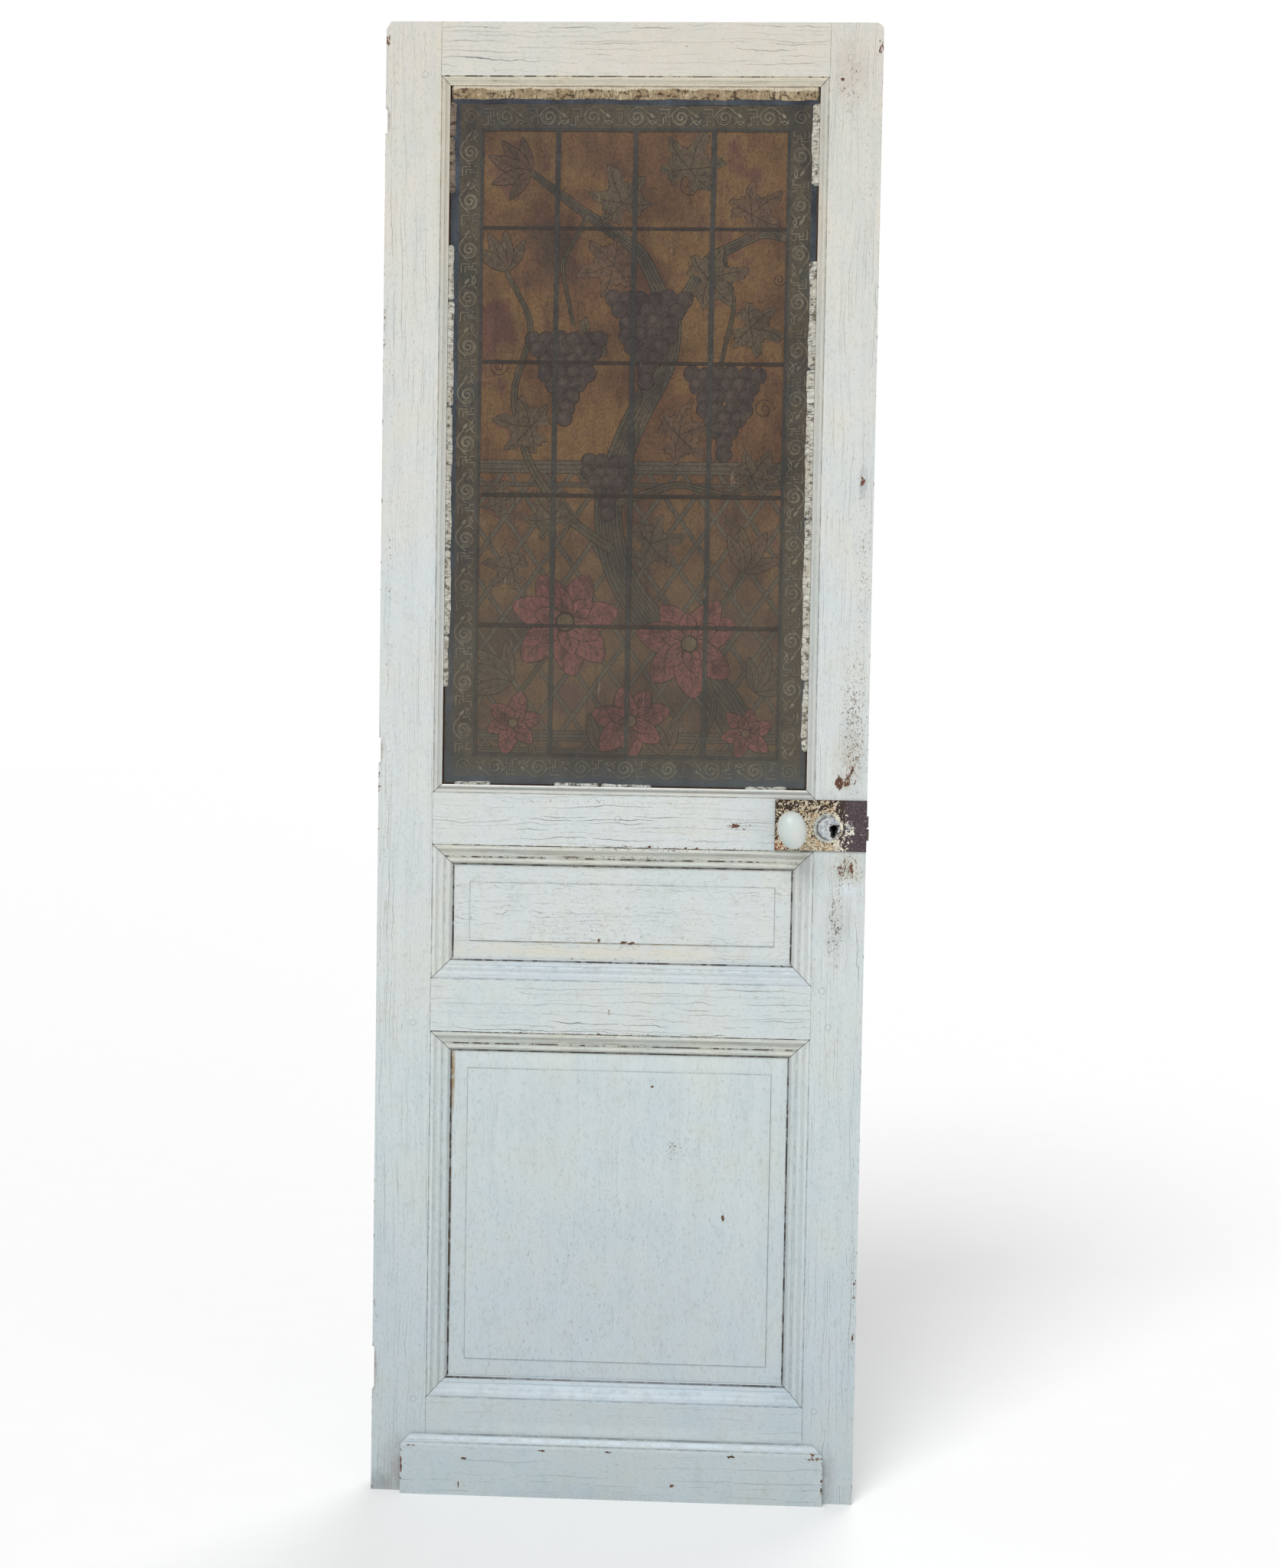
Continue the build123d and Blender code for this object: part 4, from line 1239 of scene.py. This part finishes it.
# %% Putty finish
def putty_finish(name, light, dark, seam, along_x):
    """Dry putty: blocks parted by dark cracks across the run, from stretched cells, with
    dark and light blots. The door's paint has run over the top of it."""
    finish = Finish(name, Specular_IOR_Level=0.2, Roughness=0.85)
    clouds = finish.noise((0.03, 0.03, 0.03), 5.0, 0.65)
    grain = finish.noise((0.6, 0.6, 0.6), 3.0)
    way = (0.13, 0.02, 0.035) if along_x else (0.035, 0.02, 0.1)
    cracks = finish.cells(way, "DISTANCE_TO_EDGE").rise(0.05, 0.012)
    hair_way = (0.4, 0.02, 0.05) if along_x else (0.05, 0.02, 0.3)
    hair = finish.noise(hair_way, 3.0).line(0.5, 0.01, 0.03) * clouds.rise(0.4, 0.6)
    blots = finish.noise((0.09, 0.09, 0.12), 5.0, 0.7)
    overpaint = (finish.z + (clouds - 0.5) * 14.0 + (grain - 0.5) * 5.0).rise(2103.0, 2104.5)
    tint = finish.cover(
        finish.mix(clouds.rise(0.35, 0.68), dark, light),
        (grain.rise(0.5, 0.8) * 0.3, seam),
        (cracks * clouds.rise(0.4, 0.56) * 0.7, seam),
        (blots.rise(0.52, 0.6) * 0.9, seam),
        (blots.rise(0.44, 0.3) * 0.7, tuple(part * 1.14 for part in light)),
        (hair * 0.5, seam),
        (overpaint, finish.mix(grain.rise(0.4, 0.7), (214, 205, 184), (188, 176, 150))),
    )
    height = clouds * 0.5 + grain * 0.2 - cracks - hair * 0.4
    return finish.set(Base_Color=tint, Normal=finish.bump(height, 0.6, 0.8))


top_putty = putty_finish("putty_ochre", (196, 178, 146), (150, 130, 102), (62, 46, 34), True)
cream_putty = putty_finish("putty_cream", (210, 210, 200), (184, 180, 166), (96, 86, 74), False)
brown_putty = putty_finish("putty_brown", (146, 132, 116), (116, 102, 90), (66, 54, 46), False)
white_putty = putty_finish("putty_white", (212, 214, 208), (176, 176, 168), (80, 74, 70), True)


# %% Putty runs
def putty_run(skins, start, end, wall, inward, upright, width, seed, worn):
    """A bevelled fillet from start to end along a rebate wall. Its section has six
    corners; its width and height wander, and pinch off over the last few millimetres."""
    count = max(int(abs(end - start) / 3), 8)
    along = np.linspace(start, end, count)
    ends = np.minimum(np.arange(count), np.arange(count)[::-1]) * abs(end - start) / count
    pinch = np.clip(ends / 3.0, 0.25, 1.0)
    toe = width * (1 - 0.16 * worn + wobble(along * 0.06, seed, 0.2 * worn)) * pinch**0.4
    toe = np.minimum(toe, width)
    high_side = (4.0 + wobble(along * 0.08, seed + 1, 0.5)) * pinch
    mid = 2.6 + wobble(along * 0.11, seed + 2, 0.5)
    back = FILM_FRONT - 0.1
    section = [
        (np.zeros(count), np.full(count, back)),
        (np.zeros(count), back - high_side),
        (toe * 0.16, back - high_side),
        (toe * 0.6, back - mid * pinch),
        (toe * 0.94, np.full(count, back - 0.7)),
        (toe, np.full(count, back)),
    ]
    corners = []
    for reach, y in section:
        side = wall + inward * reach
        corners.append(on_leaf(side, y, along) if upright else on_leaf(along, y, side))
    skins.add(np.stack(corners, axis=1))


hinge_side = (LEFT_SHOULDER + 13.1, 1, True)
lock_side = (RIGHT_SHOULDER - 13.1, -1, True)
head_side = (2108.9, -1, False)
foot_side = (1077.1, 1, False)
putty_runs = {
    "putty_over": (head_side, top_putty, "putty_top", [(97.0, 638.0, 20.0, 3, 0.35)]),
    "putty_hinge_side": (
        *(hinge_side, brown_putty, None),
        [(2086.0, 2036.0, 10.0, 11, 0.5), (2035.0, 1953.0, 9.0, 12, 0.9)],
    ),
    "putty_hinge_side_low": (
        *(hinge_side, cream_putty, "putty_left"),
        [
            (1877.0, 1796.0, 9.5, 13, 0.8),
            (1795.0, 1640.0, 10.0, 14, 0.6),
            (1639.0, 1428.0, 9.5, 15, 0.7),
            (1427.0, 1300.0, 10.0, 16, 0.6),
            (1299.0, 1223.0, 8.5, 17, 1.0),
        ],
    ),
    "putty_lock_side": (
        *(lock_side, cream_putty, "putty_right"),
        [
            (2086.0, 1967.0, 12.5, 21, 0.7),
            (1857.0, 1700.0, 12.0, 22, 0.6),
            (1699.0, 1480.0, 13.0, 23, 0.5),
            (1479.0, 1240.0, 12.5, 24, 0.6),
            (1239.0, 1135.0, 10.5, 25, 1.0),
        ],
    ),
    "putty_under": (
        *(foot_side, white_putty, "putty_bottom"),
        [
            (113.0, 167.0, 5.5, 31, 1.0),
            (263.0, 330.0, 6.0, 32, 0.9),
            (334.0, 409.0, 5.0, 33, 1.0),
            (549.0, 611.0, 5.5, 34, 1.0),
        ],
    ),
}
for name, (side, finish, node, runs) in putty_runs.items():
    skins = Skins()
    for start, end, width, seed, worn in runs:
        putty_run(skins, start, end, *side, width, seed, worn)
    run = skins.build(name, finish, slot="putty")
    if node:
        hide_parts(node)

# %% [markdown]
# ## Lock, boss and bolts
# The plate was painted with the door, and the paint has flaked off steel that rusts below it. Cream
# paint, crazed all over, stands in the middle. It has holes near the plate's rim, orange rust in one
# corner, and gives out in crumbs towards the lock edge, where hands and the frame have left the
# steel bare. Torn borders come from noise added to a soft gradient before it is cut off.


# %% Flaking paint on the lock plate
KEYHOLE, BOSS = (681.0, 1019.0), (673.0, 1022.0)
PLATE_EDGE, PLATE_FOOT, PLATE_HEAD = 594.0, 987.5, 1063.5


plate = Finish("plate_paint", Specular_IOR_Level=0.3)
torn = plate.noise((0.16, 0.2, 0.16), 2.0, 0.5, 1.2)
crumbs = plate.noise((0.42, 0.4, 0.42), 4.0, 0.6)
blotch = plate.noise((0.06, 0.06, 0.06), 4.0, 0.6)
scuff = plate.noise((0.1, 0.1, 0.26), 4.0, 0.7)
craze = plate.cells((0.34, 0.34, 0.38), "DISTANCE_TO_EDGE").rise(0.09, 0.02)
rim = (plate.x - PLATE_EDGE).least(plate.z - PLATE_FOOT).least(PLATE_HEAD - plate.z)
hand = plate.x + (plate.z - BOSS[1]) * 0.12
wear = hand.rise(676.0, 724.0) * 0.42 + plate.x.rise(646.0, 600.0) * 0.06
wear = wear + plate.z.rise(1036.0, 1058.0) * 0.06
wear = wear - plate.z.rise(1012.0, 996.0) * plate.x.rise(606.0, 612.0) * 0.05
kept = (torn + (crumbs - 0.5) * 0.34 - wear).rise(0.425, 0.435)
paint = plate.cover(
    plate.mix(crumbs.rise(0.38, 0.6), (138, 118, 92), (240, 229, 202)),
    (blotch.rise(0.46, 0.62) * 0.35, (196, 160, 116)),
    (plate.x.rise(676.0, 692.0) * 0.85, (236, 231, 216)),
    (craze * 0.6, (104, 82, 58)),
)
orange = soft_spot(plate, 602, 996, 14, 12).rise(0.1, 0.7) * blotch.rise(0.42, 0.54)
rust = plate.mix(crumbs.rise(0.4, 0.62), (32, 24, 22), (72, 54, 40))
rust = plate.cover(rust, (orange, (140, 76, 40)))
metal = plate.mix(crumbs.rise(0.38, 0.68), (60, 48, 54), (96, 82, 86))
metal = plate.cover(metal, (scuff.rise(0.52, 0.66) * 0.6, (44, 34, 38)))
flakes = soft_spot(plate, 704.0, 1020.0, 13.0, 13.0) * 0.3 + (torn - 0.5) * 0.7 + crumbs
flake_tint = plate.mix(blotch.rise(0.45, 0.6), (226, 222, 206), (168, 170, 170))
# Round the keyhole, under the boss and inside the hole, the plate is painted near black: painted
# shade, as no light reaches there.
plate_keyhole_shade = distance(plate, *KEYHOLE).rise(12.5, 12.0) * plate.x.rise(664.0, 665.0)
tint = plate.cover(
    plate.mix(plate.x.rise(690.0, 704.0), rust, metal),
    (kept, paint),
    (flakes.rise(0.72, 0.735), flake_tint),
    (rim.rise(0.9, 0.3) * 0.8, (52, 38, 30)),
    (plate_keyhole_shade, (20, 15, 12)),
)
height = kept * 0.8 + crumbs * 0.3 - craze * kept * 0.5
plate.set(Base_Color=tint, Roughness=0.62, Normal=plate.bump(height, 0.5, 0.9))
dress(["lock_cover_plate"], plate.material)

# %% [markdown]
# ### The keyhole's boss
# The boss has a raised disc inside a ring. Its white paint has cracked into wedges, and on the
# right, where the key scrapes, it has broken off round a ragged hole. The hole and the keyhole's
# bore are painted near black as shade. Distance from its axis gives the ring, and cells give the
# wedges.

# %% Boss
boss = Finish("boss_paint", Specular_IOR_Level=0.35, Roughness=0.5)
from_axis = distance(boss, *BOSS)
wedges = boss.cells((0.17, 0.17, 0.17), "DISTANCE_TO_EDGE").rise(0.05, 0.015)
cloud = boss.noise((0.12, 0.12, 0.12), 5.0, 0.65)
scale = boss.noise((0.2, 0.2, 0.24), 5.0, 0.7)
ring = from_axis.line(16.2, 0.9, 0.7) * boss.x.rise(678.0, 666.0)
ring = (ring + from_axis.line(18.2, 0.3, 0.6) * 0.4).least(1.0)
flange = boss.mix(boss.x.rise(668.0, 684.0), (186, 190, 184), (226, 220, 198))
flange = boss.mix(cloud.rise(0.36, 0.5), (112, 100, 84), flange)
scraped = soft_spot(boss, 685.0, 1019.0, 15.0, 17.0)
lost = (scale + scraped * 0.14).rise(0.64, 0.66)
# The keyhole, its bore and a ragged border are painted near black: painted shade inside the hole.
keyhole_shade = (distance(boss, 681.0, 1021.0) + (scale - 0.5) * 9.0).rise(6.9, 6.1)
keyhole_shade = keyhole_shade.most(soft_spot(boss, 680.0, 1013.0, 4.2, 6.0).rise(0.0, 0.15))
keyhole_shade = keyhole_shade.most(distance(boss, 681.0, 1022.0).rise(5.4, 4.9))
white = boss.cover(
    boss.mix(cloud.rise(0.36, 0.62), (170, 178, 184), (212, 216, 215)),
    (wedges * 0.7, (96, 96, 102)),
    (ring * scale.rise(0.36, 0.46) * 0.85, (64, 60, 62)),
    (from_axis.rise(17.2, 18.4) * 0.9, flange),
    (lost, (46, 34, 30)),
    (keyhole_shade, (24, 18, 16)),
)
boss.set(Base_Color=white, Normal=boss.bump(cloud - wedges * 0.6 - lost, 0.4, 0.7))
dress(["keyhole_boss"], boss.material)


# %% Steel and brass
def worn_metal(name, light, dark, metallic, scale=0.12):
    """Old metal: two tones by noise, rougher where it is dark. Inside the lock it is black
    and dull, as no light gets there."""
    finish = Finish(name)
    cloud = finish.noise((scale, scale, scale), 5.0, 0.65)
    inside_lock = distance(finish, *KEYHOLE).rise(12.5, 11.5) * finish.y.rise(-1.0, -2.0)
    tint = finish.mix(cloud.rise(0.36, 0.66), dark, light)
    return finish.set(
        Base_Color=finish.cover(tint, (inside_lock, (20, 16, 14))),
        Metallic=(1 - inside_lock) * metallic,
        Roughness=(0.62 - cloud * 0.3).most(inside_lock),
        Normal=finish.bump(cloud, 0.15, 0.5),
    )


dark_steel = worn_metal("dark_steel", (112, 98, 92), (58, 44, 42), 0.75)
old_brass = worn_metal("old_brass", (150, 122, 74), (92, 70, 42), 0.9)
dress(["lock_case", "lock_forend", "latch_bolt", "dead_bolt", "spindle"], dark_steel)
dress(["back_key_escutcheon", "back_knob_rose"], old_brass)

# %% [markdown]
# ### A lever inside the lock
# The keyhole goes right through the leaf, yet no daylight shows in it: the levers inside the case
# stand in the way. The CAD model leaves them out, so one thin plate stands for them here, out of the
# way of both bolts. It shows only as the dark of the hole.

# %% Lever
LEVER_FRONT, LEVER_BACK = -9.0, -7.5
lever = Skins()
turn = np.linspace(0, 2 * np.pi, 40, endpoint=False)
outline = np.stack([683.0 + 14.5 * np.cos(turn), 1017.0 + 14.0 * np.sin(turn)], -1)
slab(lever, outline, LEVER_FRONT, LEVER_BACK)
lever.build("lock_lever", dark_steel, slot="lock_steel")

# %% [markdown]
# ## Porcelain knobs
# The knobs are egg-shaped porcelain on turned brass necks. An egg is not a stretched ball: its
# widest place lies nearer one end. Two half ellipses that share their widest ring give that outline
# with no corner where they meet. The CAD eggs are built of flats, so round ones stand for them here.

# %% Egg and neck
SPINDLE = (617.5, 1022.0)
EGG_BLUNT, EGG_SHARP, EGG_HALF, EGG_LEAN = 26.5, 29.5, 21.5, radians(11)


def turned(profile, around=72):
    """Loops of a shape turned about an axis: each profile point (radius, place) becomes a
    ring of sines and cosines."""
    turn = np.linspace(0, 2 * np.pi, around, endpoint=False)
    radius, place = np.asarray(profile, float).T
    return radius[:, None] * np.cos(turn), radius[:, None] * np.sin(turn), place[:, None] + 0 * turn


def egg_loops(centre_y):
    """Two half ellipses turned about the egg's length, which leans a little."""
    angle = np.linspace(0.002, np.pi - 0.002, 60)
    half = EGG_HALF - 0.35
    height = np.where(angle < np.pi / 2, EGG_BLUNT, EGG_SHARP) * np.cos(angle)
    side, depth, up = turned(np.stack([half * np.sin(angle) ** 0.94, height], -1))
    up = up - (EGG_BLUNT - EGG_SHARP) / 2 - 1.5
    x = side * np.cos(EGG_LEAN) - up * np.sin(EGG_LEAN)
    z = side * np.sin(EGG_LEAN) + up * np.cos(EGG_LEAN)
    return on_leaf(SPINDLE[0] + x, centre_y + depth, SPINDLE[1] + z)


def neck_loops(foot_y, top_y):
    """A foot ring, a hollow waist and a small collar under the egg."""
    share = np.array([0.0, 0.04, 0.12, 0.17, 0.24, 0.42, 0.62, 0.78, 0.86, 0.94, 1.0])
    radius = np.array([10.4, 10.9, 10.9, 10.2, 8.6, 7.2, 7.2, 7.8, 8.0, 7.9, 7.6])
    fine = np.linspace(0, 1, 50)
    radius = np.interp(fine, share, radius)
    radius = np.convolve(np.pad(radius, 1, "edge"), [0.25, 0.5, 0.25], "valid")
    side, up, place = turned(np.stack([radius, foot_y + (top_y - foot_y) * fine], -1), 48)
    return on_leaf(SPINDLE[0] + side, place, SPINDLE[1] + up)


porcelain = Finish("porcelain", Roughness=0.42, Coat_Weight=0.2, Coat_Roughness=0.28)
bloom = porcelain.noise((0.03, 0.03, 0.03), 3.0)
glaze = porcelain.mix(bloom.rise(0.35, 0.65), (197, 210, 206), (210, 212, 208))
glaze_craze = porcelain.cells((0.09, 0.09, 0.09), "DISTANCE_TO_EDGE").rise(0.02, 0.006)
glaze = porcelain.cover(glaze, (glaze_craze * 0.12, (170, 168, 158)))
porcelain.set(Base_Color=glaze, Normal=porcelain.bump(bloom, 0.2, 0.1))
eggs, necks = Skins(), Skins()
for egg_y, foot_y in ((-57.9, -20.4), (57.9, 23.0)):
    eggs.add(egg_loops(egg_y))
    necks.add(neck_loops(foot_y, egg_y - np.sign(egg_y) * (EGG_HALF - 3.4)))
knobs = eggs.build("porcelain_knobs", porcelain.material, "knob", "porcelain", smooth=True)
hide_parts("knobs")
collars = necks.build("brass_necks", old_brass, "knob", "knob_brass", smooth=True)
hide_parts("knob_necks")

# %% [markdown]
# ## Floor, light and background
# A pale floor and even studio light show the door as it is. The world is white where the camera or a
# reflection looks at it and weaker as a lamp, so the background stays white and the paint keeps its
# own colour. Suns with wide discs stand for softboxes: they light the foot and the head of a tall
# leaf alike, and the key sun is high enough to draw the mouldings.

# %% Floor
floor_mesh = bpy.data.meshes.new("floor")
FLOOR_REACH = 30.0
floor_corners = FLOOR_REACH * np.array([(-1, -1, 0), (1, -1, 0), (1, 1, 0), (-1, 1, 0)])
floor_corners[:, 2] = -SEAT_HEIGHT / 1000
floor_mesh.from_pydata(floor_corners.tolist(), [], [(0, 1, 2, 3)])
floor = bpy.data.objects.new("floor", floor_mesh)
bpy.context.scene.collection.objects.link(floor)
floor_finish = Finish("floor", Roughness=0.9)
grain = floor_finish.noise((0.01, 0.01, 0.01), 3.0)
floor_finish.set(Base_Color=floor_finish.mix(grain, (250, 250, 250), (253, 253, 253)))
floor_mesh.materials.append(floor_finish.material)

# %% World and lamps
world = bpy.data.worlds.new("studio")
bpy.context.scene.world = world
world.use_nodes = True
sky = world.node_tree
path = sky.nodes.new("ShaderNodeLightPath")
background = sky.nodes["Background"]
background.inputs["Color"].default_value = (1.0, 1.0, 1.0, 1.0)
seen = sky.nodes.new("ShaderNodeMath")
seen.operation = "MAXIMUM"
sky.links.new(path.outputs["Is Camera Ray"], seen.inputs[0])
sky.links.new(path.outputs["Is Glossy Ray"], seen.inputs[1])
level = sky.nodes.new("ShaderNodeMapRange")
level.inputs["To Min"].default_value = 0.42
level.inputs["To Max"].default_value = 1.0
sky.links.new(seen.outputs[0], level.inputs["Value"])
sky.links.new(level.outputs[0], background.inputs["Strength"])


def sun(name, towards, strength, softness):
    """A sun that shines from a direction. Its disc is wide, so its shadows are soft."""
    data = bpy.data.lights.new(name, "SUN")
    data.energy, data.angle = strength, radians(softness)
    made = bpy.data.objects.new(name, data)
    made.rotation_euler = Vector(towards).to_track_quat("Z", "Y").to_euler()
    bpy.context.scene.collection.objects.link(made)


sun("key", (-0.45, -1.0, 1.15), 1.5, 28)
sun("fill", (0.9, -1.0, 0.35), 0.4, 50)
sun("rear", (0.4, 1.0, 0.7), 1.1, 50)

# %% [markdown]
# ## Camera
# The photograph was taken from about two and a half metres, a little below the middle of the
# door's upper half, turned slightly and tipped up. The focal length and the three small turns
# were solved from the corners of the leaf, its openings and the lock plate.

# %% Camera
camera_data = bpy.data.cameras.new("camera")
camera = bpy.data.objects.new("camera", camera_data)
bpy.context.scene.collection.objects.link(camera)
bpy.context.scene.camera = camera
camera_data.sensor_fit = "AUTO"
camera_data.sensor_width = 24.0
camera_data.lens = 26.558
CAMERA_AT = (0.4831, -2.6, 0.0596)
CAMERA_TURNS = ((0.964, "Z"), (2.103, "Y"), (-2.25, "X"))
facing = Matrix(((1, 0, 0), (0, 0, -1), (0, 1, 0)))
for degrees, axis in CAMERA_TURNS:
    facing = facing @ Matrix.Rotation(radians(degrees), 3, axis)
camera.matrix_world = Matrix.Translation(CAMERA_AT) @ facing.to_4x4()
bpy.context.scene.view_settings.view_transform = "Standard"
